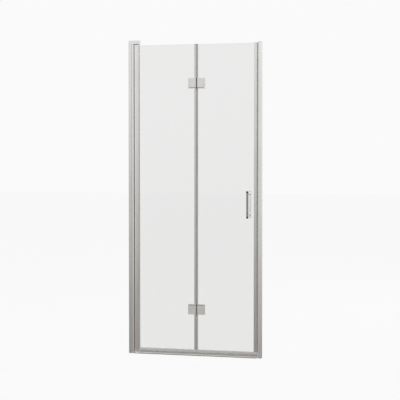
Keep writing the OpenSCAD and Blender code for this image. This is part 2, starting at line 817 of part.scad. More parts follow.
module hinge_sleeves(side) {
    color(nylon_white) for (z = hinge_z, k = [-1, 1]) at_fold(side, z + k * hinge_screw_pitch / 2)
        difference() {
            bar_y(hinge_screw_u, 0, sleeve_r, -glass_y, glass_y);
            bar_y(hinge_screw_u, 0, hinge_screw_d / 2 + seat_gap, -glass_t, glass_t);
        }
}

module hinge_screws(side) {
    color(steel) for (z = hinge_z, k = [-1, 1]) at_fold(side, z + k * hinge_screw_pitch / 2)
        difference() {
            union() {
                bar_y(hinge_screw_u, 0, hinge_screw_d / 2, -slot_y - hinge_screw_bite, plate_y - 1);
                bar_y(hinge_screw_u, 0, hinge_head_r, plate_y - plate_t / 2 + seat_gap,
                    plate_y - hinge_head_sink);
            }
            translate([hinge_screw_u, plate_y, 0]) rotate([90, 0, 0])
                cylinder(d = hinge_screw_d * 0.7, h = 2, $fn = 6);
        }
}

module hinge_pads_left() { hinge_pads(-1); }
module hinge_pads_right() { hinge_pads(1); }
module hinge_sleeves_left() { hinge_sleeves(-1); }
module hinge_sleeves_right() { hinge_sleeves(1); }
module hinge_screws_left() { hinge_screws(-1); }
module hinge_screws_right() { hinge_screws(1); }

// ---- Closing edge ----

// Plan of the handle stile: its front falls back to a rounded closing edge
module edge_outline() {
    half = edge_depth / 2;
    x_round = x_edge_out - edge_corner_r;
    y_front = edge_taper - half;
    y_rounds = [y_front + edge_corner_r, half - edge_corner_r];
    polygon([
        [x_edge_in, stile_ease - half], [x_edge_in + stile_ease, -half], [x_round, y_front],
        [x_round, half], [x_edge_in + stile_ease, half], [x_edge_in, half - stile_ease]
    ]);
    translate([x_round - eps, y_rounds[0]]) square([edge_corner_r + eps, y_rounds[1] - y_rounds[0]]);
    for (y = y_rounds) translate([x_round, y]) circle(r = edge_corner_r);
}

module handle_stile() {
    groove = magnet_t - magnet_out;
    color(nickel) upright(z_rail_top + slide_gap, z_panel_top) difference() {
        edge_outline();
        translate([x_edge_in - 1, -slot_y]) square([glass_grip + 1, 2 * slot_y]);
        translate([x_edge_out - groove - seat_gap, -magnet_w / 2 - seat_gap])
            square([groove + 1, magnet_w + 2 * seat_gap]);
    }
}

module handle_stile_gasket() {
    translate([x_edge_in + glass_grip, 0, 0]) mirror([1, 0, 0])
        difference() {
            slot_gasket();
            upright(0, z_rail_top + slide_gap) square(100, center = true);
        }
}

module door_magnet() {
    color(rubber_black) upright(z_rail_top + slide_gap, z_panel_top)
        cut_rect([x_edge_out + magnet_out - magnet_t, -magnet_w / 2],
            [x_edge_out + magnet_out, magnet_w / 2], 0.6);
}

// ---- Handle ----

// Plan of a grip of width w: half-round towards the hand, with its flat side towards the glass
module grip_outline(w) {
    y_round = w / 2 - grip_y - grip_depth;
    translate([0, y_round]) circle(d = w);
    translate([-w / 2, y_round]) square([w, grip_depth - w / 2]);
}

// Outer handle: a grip of width w and length len on two posts
module d_handle(w, len) {
    stud_room = stud_d / 2 + seat_gap;
    translate([x_handle, 0, handle_z]) difference() {
        union() {
            upright(-len / 2, len / 2) grip_outline(w);
            for (k = [-1, 1]) bar_y(0, k * post_pitch / 2, post_d / 2, -grip_y - 1, -glass_y - washer_t);
        }
        for (k = [-1, 1]) bar_y(0, k * post_pitch / 2, stud_room, stud_end - grip_y, 0);
    }
}

// Runs its child at both ends of the outer grip, where its plugs begin
module at_grip_ends() {
    for (k = [0, 1]) translate([x_handle, 0, handle_z]) mirror([0, 0, k])
        translate([0, 0, grip_len / 2 - plug_t]) children();
}

// Pin of an end plug, or the hole for it
module plug_pin(r, reach) {
    translate([0, -grip_y - grip_depth / 2, -reach]) cylinder(r = r, h = reach + 1);
}

module handle_outer() {
    color(nickel_dark) difference() {
        d_handle(grip_w, grip_len - 2 * plug_t);
        at_grip_ends() plug_pin(plug_pin_r + seat_gap, plug_pin_len + seat_gap);
    }
}

module handle_end_plugs() {
    color(rubber_black) at_grip_ends() {
        upright(seat_gap, plug_t) grip_outline(grip_w);
        plug_pin(plug_pin_r, plug_pin_len);
    }
}

module handle_inner() {
    color(nickel_dark) mirror([0, 1, 0]) d_handle(inner_grip_w, grip_len);
}

module handle_washers() {
    color(nylon_white) for (k = [-1, 1], face = [-1, 1])
        translate([x_handle, face > 0 ? glass_y + washer_t : -glass_y, handle_z + k * post_pitch / 2])
            rotate([90, 0, 0]) difference() {
                cylinder(d = washer_d, h = washer_t);
                translate([0, 0, -1]) cylinder(d = stud_d + 2 * seat_gap, h = washer_t + 2);
            }
}

module handle_studs() {
    color(steel) for (k = [-1, 1]) bar_y(x_handle, handle_z + k * post_pitch / 2, stud_d / 2,
        stud_end + seat_gap - grip_y, grip_y - stud_end - seat_gap);
}

wall_channel_left();
wall_channel_right();
pivot_jamb();
strike_jamb();
pivot_seal();
strike_magnet();
top_pivot_cap();
top_pivot_pin();
strike_top_cap();
sill();
bottom_pivot_shoe();
sill_end_block();
bottom_pivot_pin();
pivot_washer();
jamb_screws();
jamb_screw_covers();
pivot_stile();
pivot_stile_gasket();
stile_top_bush();
stile_bottom_bush();
left_glass();
left_bottom_rail();
left_wiper();
left_centre_seal();
upper_hinge_front_left();
upper_hinge_back_left();
upper_hinge_core_left();
upper_hinge_pin();
lower_hinge_front_left();
lower_hinge_back_left();
lower_hinge_core_left();
lower_hinge_pin();
hinge_pads_left();
hinge_sleeves_left();
hinge_screws_left();
right_glass();
handle_stile();
handle_stile_gasket();
door_magnet();
right_bottom_rail();
right_wiper();
right_centre_seal();
upper_hinge_front_right();
upper_hinge_back_right();
upper_hinge_core_right();
lower_hinge_front_right();
lower_hinge_back_right();
lower_hinge_core_right();
hinge_pads_right();
hinge_sleeves_right();
hinge_screws_right();
handle_outer();
handle_end_plugs();
handle_inner();
handle_washers();
handle_studs();
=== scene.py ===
import json
import math

import bmesh
import bpy
import numpy as np
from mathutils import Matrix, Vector
from mathutils.geometry import tessellate_polygon

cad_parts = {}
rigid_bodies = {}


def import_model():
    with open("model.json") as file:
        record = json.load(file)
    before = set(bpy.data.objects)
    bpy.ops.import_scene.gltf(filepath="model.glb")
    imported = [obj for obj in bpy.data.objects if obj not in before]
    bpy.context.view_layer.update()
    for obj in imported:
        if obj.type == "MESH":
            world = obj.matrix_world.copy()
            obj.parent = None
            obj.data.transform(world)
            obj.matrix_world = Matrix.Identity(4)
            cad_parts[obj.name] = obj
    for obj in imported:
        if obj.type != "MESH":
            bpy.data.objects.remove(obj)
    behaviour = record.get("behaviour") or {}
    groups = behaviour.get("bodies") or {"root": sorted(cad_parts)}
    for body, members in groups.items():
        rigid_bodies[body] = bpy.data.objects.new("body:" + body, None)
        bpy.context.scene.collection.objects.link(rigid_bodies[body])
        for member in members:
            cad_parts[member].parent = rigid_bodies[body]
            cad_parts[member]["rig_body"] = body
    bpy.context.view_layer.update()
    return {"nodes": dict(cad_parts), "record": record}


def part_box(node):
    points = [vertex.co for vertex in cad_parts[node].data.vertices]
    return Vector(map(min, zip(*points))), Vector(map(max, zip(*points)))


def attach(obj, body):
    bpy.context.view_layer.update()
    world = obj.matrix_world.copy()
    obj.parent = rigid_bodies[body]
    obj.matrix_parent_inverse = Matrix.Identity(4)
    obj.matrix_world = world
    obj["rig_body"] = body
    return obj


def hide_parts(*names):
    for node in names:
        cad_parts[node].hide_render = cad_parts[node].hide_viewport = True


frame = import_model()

# Bifold shower door: +X to the right seen from outside, +Y into the shower, +Z up, in metres.
MM = 0.001
BODY_OF = {node: piece["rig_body"] for node, piece in frame["nodes"].items()}
SLOT_OF = {part["node"]: part["material_slot"] for part in frame["record"]["subparts"]}
SIDES = {"left": -1, "right": 1}
LEVELS = ("lower", "upper")

# ---- Shapes: each is (points, faces), an array of points in metres and lists of point numbers ----
SAME_POINT = 1e-7
SHARP_ANGLE = math.radians(50)
END_EASE = 0.4 * MM


def arc_loop(corners, radii, steps=4):
    """Closed outline through corners, each rounded to its radius. The arc's centre lies on the corner's
    bisector, and its points turn evenly from one tangent point to the other."""
    spot = np.array(corners, float)
    back = np.roll(spot, 1, 0) - spot
    onward = np.roll(spot, -1, 0) - spot
    back /= np.linalg.norm(back, axis=1)[:, None]
    onward /= np.linalg.norm(onward, axis=1)[:, None]
    half = np.arccos(np.clip((back * onward).sum(1), -1, 1))[:, None] / 2
    radius = np.broadcast_to(radii, len(spot)).astype(float)[:, None]
    bisector = back + onward
    bisector /= np.linalg.norm(bisector, axis=1)[:, None]
    centre = spot + bisector * radius / np.sin(half)
    start = spot + back * radius / np.tan(half) - centre
    end = spot + onward * radius / np.tan(half) - centre
    sweep = (np.pi - 2 * half)[:, None]
    share = np.linspace(0, 1, steps + 1)[None, :, None]
    turn = np.sin((1 - share) * sweep) * start[:, None] + np.sin(share * sweep) * end[:, None]
    loop = (centre[:, None] + turn / np.sin(sweep)).reshape(-1, 2)
    return loop[np.linalg.norm(loop - np.roll(loop, 1, 0), axis=1) > SAME_POINT]


def arc(centre, radius, start, end, steps=12):
    """Points of a circular arc between two angles in degrees."""
    angle = np.radians(np.linspace(start, end, steps + 1))
    return np.array(centre) + radius * np.stack([np.cos(angle), np.sin(angle)], 1)


def hole(centre, radius, steps=32):
    """Outline of a round hole."""
    return arc(centre, radius, 0, 360 - 360 / steps, steps - 1)


def run_about(loop, sense):
    """The loop run anticlockwise (sense 1) or clockwise (sense -1), told by the sign of its area."""
    after = np.roll(loop, -1, 0)
    area = (loop[:, 0] * after[:, 1] - loop[:, 1] * after[:, 0]).sum()
    return loop if area * sense > 0 else loop[::-1]


def inset(loop, depth):
    """The loop moved into the material by depth, with mitred corners."""
    along = np.roll(loop, -1, 0) - loop
    along /= np.linalg.norm(along, axis=1)[:, None]
    inward = np.stack([-along[:, 1], along[:, 0]], 1)
    before = np.roll(inward, 1, 0)
    return loop + depth * (before + inward) / (1 + (before * inward).sum(1))[:, None]


def rows_joined(first, second, size):
    """Four-sided faces between two rings of points whose numbers start at first and second."""
    here = np.arange(size)
    there = (here + 1) % size
    return np.stack([first + here, first + there, second + there, second + here], 1).tolist()


def along_axis(axis, points):
    """Points with their third coordinate laid along the axis."""
    return points[:, {"x": (2, 0, 1), "y": (0, 2, 1), "z": (0, 1, 2)}[axis]]


def extrusion(axis, loops, low, high, ease=END_EASE, steps=2):
    """An outline and its holes, carried along an axis between two planes. The ends are quarter-rounded by
    ease: at an angle a the outline is drawn in by ease (1 - sin a) and lies ease (1 - cos a) inside."""
    loops = [run_about(loop, 1 if i == 0 else -1) for i, loop in enumerate(loops)]
    angle = np.linspace(0, np.pi / 2, steps + 1)
    drawn_in = ease * (1 - np.sin(angle))
    level = ease * (1 - np.cos(angle))
    level = np.concatenate([low + level, (high - level)[::-1]])
    drawn_in = np.concatenate([drawn_in, drawn_in[::-1]])
    points, faces, first, last, count = [], [], [], [], 0
    for loop in loops:
        size = len(loop)
        points += [np.column_stack([inset(loop, d), np.full(size, z)]) for d, z in zip(drawn_in, level)]
        for k in range(len(level) - 1):
            faces += rows_joined(count + k * size, count + (k + 1) * size, size)
        first.append(count + np.arange(size))
        count += len(level) * size
        last.append(count - size + np.arange(size))
    points = np.concatenate(points)
    for end in (first, last):
        number = np.concatenate(end)
        flat = [[Vector((*point[:2], 0)) for point in points[one]] for one in end]
        faces += [number[list(face)].tolist() for face in tessellate_polygon(flat)]
    return along_axis(axis, points), faces


def turned(axis, centre, profile, sides=48):
    """Surface turned about an axis through centre. The profile lists (radius, place along the axis), with
    a third item on rings that are pulled out to a hexagon, whose flats lie at the radius. It starts and
    ends on the axis, or closes on itself."""
    angle = np.arange(sides) * 2 * np.pi / sides
    hexagon = 1 / np.cos(angle % (np.pi / 3) - np.pi / 6)
    rings = []
    for radius, place, *six in profile:
        reach = radius * (hexagon if six else np.ones(sides))
        rings.append(np.stack([reach * np.cos(angle), reach * np.sin(angle), np.full(sides, place)], 1))
    spans = len(profile) if profile[0][0] > 0 else len(profile) - 1
    faces = []
    for k in range(spans):
        faces += rows_joined(k * sides, (k + 1) % len(profile) * sides, sides)
    return along_axis(axis, np.concatenate(rings)) + np.array(centre), faces


def soft_box(low, high, radius, steps=3):
    """Box with rounded edges: a sphere of that radius cut into eight, each part moved to its own corner."""
    quarter = np.linspace(0, np.pi / 2, steps + 1)
    start = np.arange(4) * np.pi / 2
    around = (quarter + start[:, None]).ravel()
    rise = np.concatenate([-quarter[::-1], quarter])
    level = np.cos(rise)[:, None]
    unit = np.stack(np.broadcast_arrays(
        level * np.cos(around), level * np.sin(around), np.sin(rise)[:, None]), 2)
    part = start.repeat(steps + 1) + np.pi / 4
    sign = np.stack(np.broadcast_arrays(
        np.sign(np.cos(part)), np.sign(np.sin(part)), np.repeat([-1, 1], steps + 1)[:, None]), 2)
    low, high = np.array(low, float), np.array(high, float)
    points = (radius * unit + sign * ((high - low) / 2 - radius) + (low + high) / 2).reshape(-1, 3)
    size = len(around)
    faces = [list(range(size)), list(range(len(points) - size, len(points)))]
    for k in range(len(rise) - 1):
        faces += rows_joined(k * size, (k + 1) * size, size)
    return points, faces


def joined(shapes):
    """Several shapes as one."""
    starts = np.cumsum([0] + [len(points) for points, faces in shapes])
    faces = [[i + int(start) for i in face] for start, shape in zip(starts, shapes) for face in shape[1]]
    return np.concatenate([points for points, faces in shapes]), faces


def mesh_of(name, shape):
    """Mesh of a shape, with doubled points merged and faces turned outwards."""
    mesh = bpy.data.meshes.new(name)
    mesh.from_pydata(shape[0].tolist(), [], shape[1])
    work = bmesh.new()
    work.from_mesh(mesh)
    bmesh.ops.remove_doubles(work, verts=work.verts, dist=SAME_POINT)
    bmesh.ops.dissolve_degenerate(work, edges=work.edges, dist=SAME_POINT)
    bmesh.ops.recalc_face_normals(work, faces=work.faces)
    work.to_mesh(mesh)
    work.free()
    return mesh


def combined(operation, first, *others):
    """The first shape with the others united to it ("UNION") or cut from it ("DIFFERENCE")."""
    items = [bpy.data.objects.new("cut", mesh_of("cut", shape)) for shape in (first, *others)]
    for item in items:
        bpy.context.scene.collection.objects.link(item)
    for other in items[1:]:
        change = items[0].modifiers.new("cut", "BOOLEAN")
        change.operation, change.solver, change.object = operation, "EXACT", other
    bpy.context.view_layer.update()
    result = bpy.data.meshes.new_from_object(items[0].evaluated_get(bpy.context.evaluated_depsgraph_get()))
    points = np.empty(len(result.vertices) * 3)
    result.vertices.foreach_get("co", points)
    faces = [list(face.vertices) for face in result.polygons]
    for mesh in [item.data for item in items] + [result]:
        bpy.data.meshes.remove(mesh)
    return points.reshape(-1, 3), faces


def corners_of(node):
    """Lowest and highest corner of a CAD node."""
    low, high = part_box(node)
    return np.array(low), np.array(high)


def piece(node, shape, *others):
    """Puts a shape in place of a CAD node, whose body and finish it takes, and hides the node. The others
    are pairs of another finish and a function that picks its faces by their centres and normals."""
    mesh = mesh_of(node + "_finished", shape)
    mesh.shade_smooth()
    mesh.set_sharp_from_angle(angle=SHARP_ANGLE)
    mesh.materials.append(finish_of(node))
    sides = np.empty((2, len(mesh.polygons) * 3))
    mesh.polygons.foreach_get("center", sides[0])
    mesh.polygons.foreach_get("normal", sides[1])
    number = np.zeros(len(mesh.polygons), np.int32)
    for other, picks in others:
        number[picks(*sides.reshape(2, -1, 3))] = len(mesh.materials)
        mesh.materials.append(other)
    mesh.polygons.foreach_set("material_index", number)
    item = bpy.data.objects.new(node + "_finished", mesh)
    bpy.context.scene.collection.objects.link(item)
    even = item.modifiers.new("even_shading", "WEIGHTED_NORMAL")
    even.keep_sharp = True
    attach(item, BODY_OF[node])
    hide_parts(node)


# ---- Materials: colours from 0 to 1, patterns in cells per metre, reliefs in metres ----
NICKEL = (0.8, 0.795, 0.782)
FINE_CELLS = 2600.0
LONG_CELLS = 9.0
BRUSH_RELIEF = 0.04 * MM
CAST_RELIEF = 0.03 * MM
PLASTIC_RELIEF = 0.05 * MM
PLASTIC_SPREAD = 0.1
GLOSS_SPREAD = 0.06
GLASS_FACE = (0.872, 0.862, 0.862, 1)
GLASS_SHADOW = (0.9, 0.92, 0.91, 1)
GLASS_EDGE = (0.62, 0.9, 0.8, 1)
GLASS_DENSITY = 6.0


def add_node(tree, kind, inputs=(), **settings):
    """New shader node, with its inputs given as values or as sockets to link."""
    node = tree.nodes.new(kind)
    for key, value in settings.items():
        setattr(node, key, value)
    for socket, value in dict(inputs).items():
        if isinstance(value, bpy.types.NodeSocket):
            tree.links.new(value, node.inputs[socket])
        else:
            node.inputs[socket].default_value = value
    return node


class Finish:
    """A material with its Principled shader, and short ways to add nodes that read Object coordinates."""

    def __init__(self, name, **values):
        self.material = bpy.data.materials.new(name)
        self.material.use_nodes = True
        self.tree = self.material.node_tree
        self.shader = self.tree.nodes["Principled BSDF"]
        self.place = self.add("ShaderNodeTexCoord").outputs["Object"]
        for socket, value in values.items():
            self.shader.inputs[socket.replace("_", " ")].default_value = value

    def add(self, kind, inputs=(), **settings):
        return add_node(self.tree, kind, inputs, **settings)

    def stretched(self, scale):
        """Object coordinates, scaled apart along the three axes."""
        mapping = self.add("ShaderNodeMapping", {"Vector": self.place, "Scale": scale})
        return mapping.outputs["Vector"]

    def noise(self, scale, detail=3.0, rough=0.55):
        """Noise from 0 to 1 with its own number of cells per metre along each axis."""
        node = self.add("ShaderNodeTexNoise",
            {"Vector": self.stretched(scale), "Scale": 1.0, "Detail": detail, "Roughness": rough})
        return node.outputs["Fac"]

    def spread(self, value, low, high, source=(0.3, 0.7)):
        """A 0 to 1 pattern spread between two numbers."""
        node = self.add("ShaderNodeMapRange",
            {"Value": value, "From Min": source[0], "From Max": source[1], "To Min": low, "To Max": high})
        return node.outputs["Result"]

    def shades(self, value, dark, light, source=(0.3, 0.7)):
        """A pattern shown as a blend of two colours."""
        ramp = self.add("ShaderNodeValToRGB", {"Fac": value})
        ramp.color_ramp.elements[0].position, ramp.color_ramp.elements[1].position = source
        ramp.color_ramp.elements[0].color = (*dark, 1)
        ramp.color_ramp.elements[1].color = (*light, 1)
        return ramp.outputs["Color"]

    def relief(self, height, depth, strength):
        """Bumps that follow a pattern."""
        bump = self.add("ShaderNodeBump", {"Height": height, "Distance": depth, "Strength": strength})
        self.feed("Normal", bump.outputs["Normal"])

    def feed(self, socket, value):
        """Links a pattern to the shader."""
        self.tree.links.new(value, self.shader.inputs[socket])


def tinted(colour, share):
    """The colour made darker or lighter."""
    return tuple(c * share for c in colour)


def brushed(name, lines, colour=NICKEL, rough=(0.17, 0.26)):
    """Satin nickel finish with fine brush lines. lines is the number of cells per metre along X, Y, Z."""
    finish = Finish(name, Metallic=1.0)
    streaks = finish.noise(lines, detail=4.0, rough=0.7)
    clouds = finish.noise((9.0, 9.0, 4.0), detail=2.0)
    tone = finish.add("ShaderNodeMath", {0: streaks, 1: clouds}, operation="MULTIPLY").outputs[0]
    finish.feed("Base Color", finish.shades(tone, tinted(colour, 0.94), tinted(colour, 1.03), (0.12, 0.4)))
    finish.feed("Roughness", finish.spread(streaks, *rough))
    finish.relief(streaks, BRUSH_RELIEF, 0.35)
    return finish.material


def cast(name, colour=NICKEL, rough=(0.2, 0.28)):
    """Plated casting: an even satin with a faint grain."""
    finish = Finish(name, Metallic=1.0)
    grain = finish.noise((FINE_CELLS,) * 3, detail=2.0)
    clouds = finish.noise((60.0, 60.0, 60.0), detail=3.0)
    finish.feed("Base Color", finish.shades(clouds, tinted(colour, 0.95), tinted(colour, 1.02)))
    finish.feed("Roughness", finish.spread(clouds, *rough))
    finish.relief(grain, CAST_RELIEF, 0.3)
    return finish.material


def plastic(name, colour, rough, cells):
    """Moulded or extruded plastic and rubber, with a fine grain and slightly uneven gloss."""
    finish = Finish(name)
    grain = finish.noise((cells,) * 3, detail=3.0)
    clouds = finish.noise((45.0, 45.0, 12.0), detail=3.0)
    finish.feed("Base Color",
        finish.shades(clouds, tinted(colour, 1 - PLASTIC_SPREAD), tinted(colour, 1 + PLASTIC_SPREAD)))
    finish.feed("Roughness", finish.spread(clouds, rough - GLOSS_SPREAD, rough + GLOSS_SPREAD))
    finish.relief(grain, PLASTIC_RELIEF, 0.4)
    return finish.material


def clear_glass():
    """Toughened glass: clear through its face, green along its edges, and open to lamp light."""
    finish = Finish("clear_glass", Transmission_Weight=1.0, IOR=1.5, Roughness=0.0, Base_Color=GLASS_FACE)
    smears = finish.noise((3.0, 3.0, 1.2), detail=4.0)
    finish.feed("Roughness", finish.spread(smears, 0.0, 0.012, (0.5, 0.8)))
    tree = finish.tree
    rays = finish.add("ShaderNodeLightPath")
    through = finish.add("ShaderNodeBsdfTransparent", {"Color": GLASS_SHADOW})
    mix = finish.add("ShaderNodeMixShader", {0: rays.outputs["Is Shadow Ray"],
        1: finish.shader.outputs[0], 2: through.outputs[0]})
    tint = finish.add("ShaderNodeVolumeAbsorption", {"Color": GLASS_EDGE, "Density": GLASS_DENSITY})
    output = tree.nodes["Material Output"]
    tree.links.new(mix.outputs[0], output.inputs["Surface"])
    tree.links.new(tint.outputs[0], output.inputs["Volume"])
    return finish.material


upright_brush = brushed("brushed_upright", (FINE_CELLS, FINE_CELLS, LONG_CELLS))
level_brush = brushed("brushed_level", (LONG_CELLS, FINE_CELLS, FINE_CELLS))
cast_nickel = cast("cast_nickel")
FINISH_OF_SLOT = {
    "brushed_nickel": upright_brush,
    "cast_nickel": cast_nickel,
    # painted shade: the handle's nickel darkened to an olive grey for the dark reflection on the outer
    # grip's round face
    "handle_nickel": cast("handle_nickel", (0.45, 0.45, 0.39), (0.32, 0.42)),
    "plug_black": plastic("plug_black", (0.012, 0.012, 0.011), 0.4, 1500.0),
    "cover_nickel": cast("cover_nickel"),
    "pin_steel": cast("pin_steel", (0.6, 0.61, 0.62), (0.2, 0.3)),
    "clear_glass": clear_glass(),
    "grey_seal": plastic("grey_seal", (0.36, 0.36, 0.345), 0.4, 1800.0),
    "black_rubber": plastic("black_rubber", (0.13, 0.13, 0.125), 0.5, 2200.0),
    "magnet_strip": plastic("magnet_strip", (0.4, 0.4, 0.39), 0.45, 2200.0),
    "white_nylon": plastic("white_nylon", (0.75, 0.75, 0.72), 0.4, 1500.0),
    "hinge_core_black": plastic("hinge_core_black", (0.14, 0.138, 0.128), 0.4, 1500.0),
}
satin_seal = brushed("satin_seal", (1800.0, 1800.0, LONG_CELLS), (0.68, 0.672, 0.66), (0.24, 0.32))
# painted light: nickel at full white, a lit copy for the inner handle, washers, shoe and outer posts
painted_light_nickel = cast("painted_light_nickel", (1.0, 0.995, 0.98), (0.08, 0.13))
wiper_vinyl = plastic("wiper_vinyl", (0.78, 0.78, 0.76), 0.35, 1800.0)
# painted shade: nickel at half its tone for the shadow along the sill's lip and under its top edge
sill_painted_shade = cast("sill_painted_shade", tinted(NICKEL, 0.5), (0.24, 0.32))
# painted shade: near-black for the shadow inside the pivot cap's hollow
painted_shade_black = plastic("painted_shade_black", (0.02, 0.02, 0.02), 0.5, 1500.0)
# painted light: nickel tinted a little lighter for the hinge front plates
hinge_painted_light_nickel = cast("hinge_painted_light_nickel", tinted(NICKEL, 1.04), (0.32, 0.38))
# painted shade: nickel at a third of its tone for the groove strip toward the door's middle
hinge_groove_painted_shade = cast("hinge_groove_painted_shade", tinted(NICKEL, 0.35), (0.3, 0.4))
HINGE_FRONTS = [f"{level}_hinge_front_{side}" for level in LEVELS for side in SIDES]
FINISH_OF_NODE = {
    "left_centre_seal": satin_seal,
    **dict.fromkeys(("sill", "left_bottom_rail", "right_bottom_rail"), level_brush),
    # these parts get the painted light nickel
    **dict.fromkeys(("handle_inner", "handle_washers", "bottom_pivot_shoe"), painted_light_nickel),
    **dict.fromkeys(("left_wiper", "right_wiper"), wiper_vinyl),
    **dict.fromkeys(HINGE_FRONTS, hinge_painted_light_nickel),
}


def finish_of(node):
    """A node's own finish, or else its slot's."""
    return FINISH_OF_NODE.get(node, FINISH_OF_SLOT[SLOT_OF[node]])


for node, solid in frame["nodes"].items():
    solid.data.materials.clear()
    solid.data.materials.append(finish_of(node))

# ---- Sizes that the pieces share ----
SEAT = 0.1 * MM
SLIDE_GAP = 0.3 * MM
BEYOND = 1.0 * MM  # how far a cut reaches past the face that it opens
FACING = 0.5  # share of a normal above which a face counts as facing that way
TILT = 0.1  # the same for a face that only leans that way
STILE_LOW, STILE_HIGH = corners_of("pivot_stile")
EDGE_LOW, EDGE_HIGH = corners_of("handle_stile")
RAIL_TOP = corners_of("left_bottom_rail")[1][2]
PROFILE_TOP = corners_of("wall_channel_left")[1][2]
GLASS_Y = corners_of("left_glass")[1][1]
SLOT_Y = corners_of("pivot_stile_gasket")[1][1] + SEAT
BUSH_LOW, BUSH_HIGH = corners_of("stile_top_bush")
PIVOT_X = (BUSH_LOW[0] + BUSH_HIGH[0]) / 2
PIN_LOW, PIN_HIGH = corners_of("upper_hinge_pin")
FOLD_X = (PIN_LOW[0] + PIN_HIGH[0]) / 2
PIN_HEAD = 1.0 * MM
HINGES = [corners_of(f"{level}_hinge_front_right") for level in LEVELS]
HINGE_Z = [(low[2] + high[2]) / 2 for low, high in HINGES]

# ---- Stiles ----
STILE_TAPER = 1.6 * MM
STILE_EASE = 1.2 * MM
SLOT_EASE = 0.3 * MM
BUSH_BORE = 6.85 * MM
EDGE_TAPER = 0.8 * MM
EDGE_ROUND = 4.5 * MM


def pivot_stile():
    """Square in front of the pivot, round about it behind, with a slot for the glass and a bore."""
    slot_x = corners_of("pivot_stile_gasket")[0][0] - SEAT
    left, right, half = STILE_LOW[0], STILE_HIGH[0], STILE_HIGH[1]
    outline = arc_loop(
        [(left, -half), (PIVOT_X, -half), (right, STILE_TAPER - half), (right, -SLOT_Y), (slot_x, -SLOT_Y),
            (slot_x, SLOT_Y), (right, SLOT_Y), (right, half), (left, half)],
        [STILE_EASE, 0, STILE_EASE, SLOT_EASE, 0, 0, SLOT_EASE, STILE_EASE, PIVOT_X - left - SEAT], 12)
    bore = hole((PIVOT_X, 0), BUSH_BORE)
    piece("pivot_stile", extrusion("z", [outline, bore], STILE_LOW[2], STILE_HIGH[2]))


def handle_stile():
    """Falls back in front to a round closing edge, with a groove for its magnet and a slot for the glass."""
    slot_x = corners_of("handle_stile_gasket")[1][0] + SEAT
    groove_x = corners_of("door_magnet")[0][0] - SEAT
    groove_y = corners_of("door_magnet")[1][1] + SEAT
    left, half, round_x = EDGE_LOW[0], EDGE_HIGH[1], EDGE_HIGH[0] - EDGE_ROUND
    front_y, back_y = EDGE_TAPER - half + EDGE_ROUND, half - EDGE_ROUND
    front_end = math.degrees(math.asin((-groove_y - front_y) / EDGE_ROUND))
    back_start = math.degrees(math.asin((groove_y - back_y) / EDGE_ROUND))
    inner = arc_loop(
        [(round_x, half), (left, half), (left, SLOT_Y), (slot_x, SLOT_Y), (slot_x, -SLOT_Y),
            (left, -SLOT_Y), (left, -half), (round_x, EDGE_TAPER - half)],
        [0, STILE_EASE, SLOT_EASE, 0, 0, SLOT_EASE, STILE_EASE, 0])
    outline = np.concatenate([inner[1:-1], arc((round_x, front_y), EDGE_ROUND, -90, front_end),
        [(groove_x, -groove_y), (groove_x, groove_y)], arc((round_x, back_y), EDGE_ROUND, back_start, 90)])
    piece("handle_stile", extrusion("z", [outline], EDGE_LOW[2], EDGE_HIGH[2]))


# ---- Strips and seals ----
SEAL_NOSE = 1.3 * MM
STRIP_EASE = 0.6 * MM
FLUTE_DEPTH = 0.4 * MM
FLUTE_PITCH = 2.6 * MM
CENTRE_NOSE = 3.6 * MM
CENTRE_NOSE_WALL = 0.9 * MM
WALL_TIP = 0.5 * MM
CUT_EASE = 0.2 * MM


def pivot_seal():
    """Strip with a round nose that stops just short of the stile."""
    low, high = corners_of("pivot_seal")
    base_x = high[0] - SEAL_NOSE
    base = arc_loop([(base_x, high[1]), (low[0], high[1]), (low[0], low[1]), (base_x, low[1])],
        [STRIP_EASE, 0, 0, STRIP_EASE])
    piece("pivot_seal",
        extrusion("z", [np.concatenate([base, arc((base_x, 0), SEAL_NOSE, -90, 90)])], low[2], high[2]))


def magnet_strip(node, face_side):
    """Flat bar with rounded edges and three fine flutes along the face that meets the other magnet."""
    low, high = corners_of(node)
    back, face = (low[0], high[0]) if face_side > 0 else (high[0], low[0])
    corners, radii = [(back, low[1]), (face, low[1])], [STRIP_EASE, STRIP_EASE]
    for y in (-FLUTE_PITCH, 0, FLUTE_PITCH):
        corners += [(face, y - FLUTE_DEPTH), (face - face_side * FLUTE_DEPTH, y), (face, y + FLUTE_DEPTH)]
        radii += [SEAT, SEAT, SEAT]
    corners += [(face, high[1]), (back, high[1])]
    radii += [STRIP_EASE, STRIP_EASE]
    piece(node, extrusion("z", [arc_loop(corners, radii, 2)], low[2], high[2]))


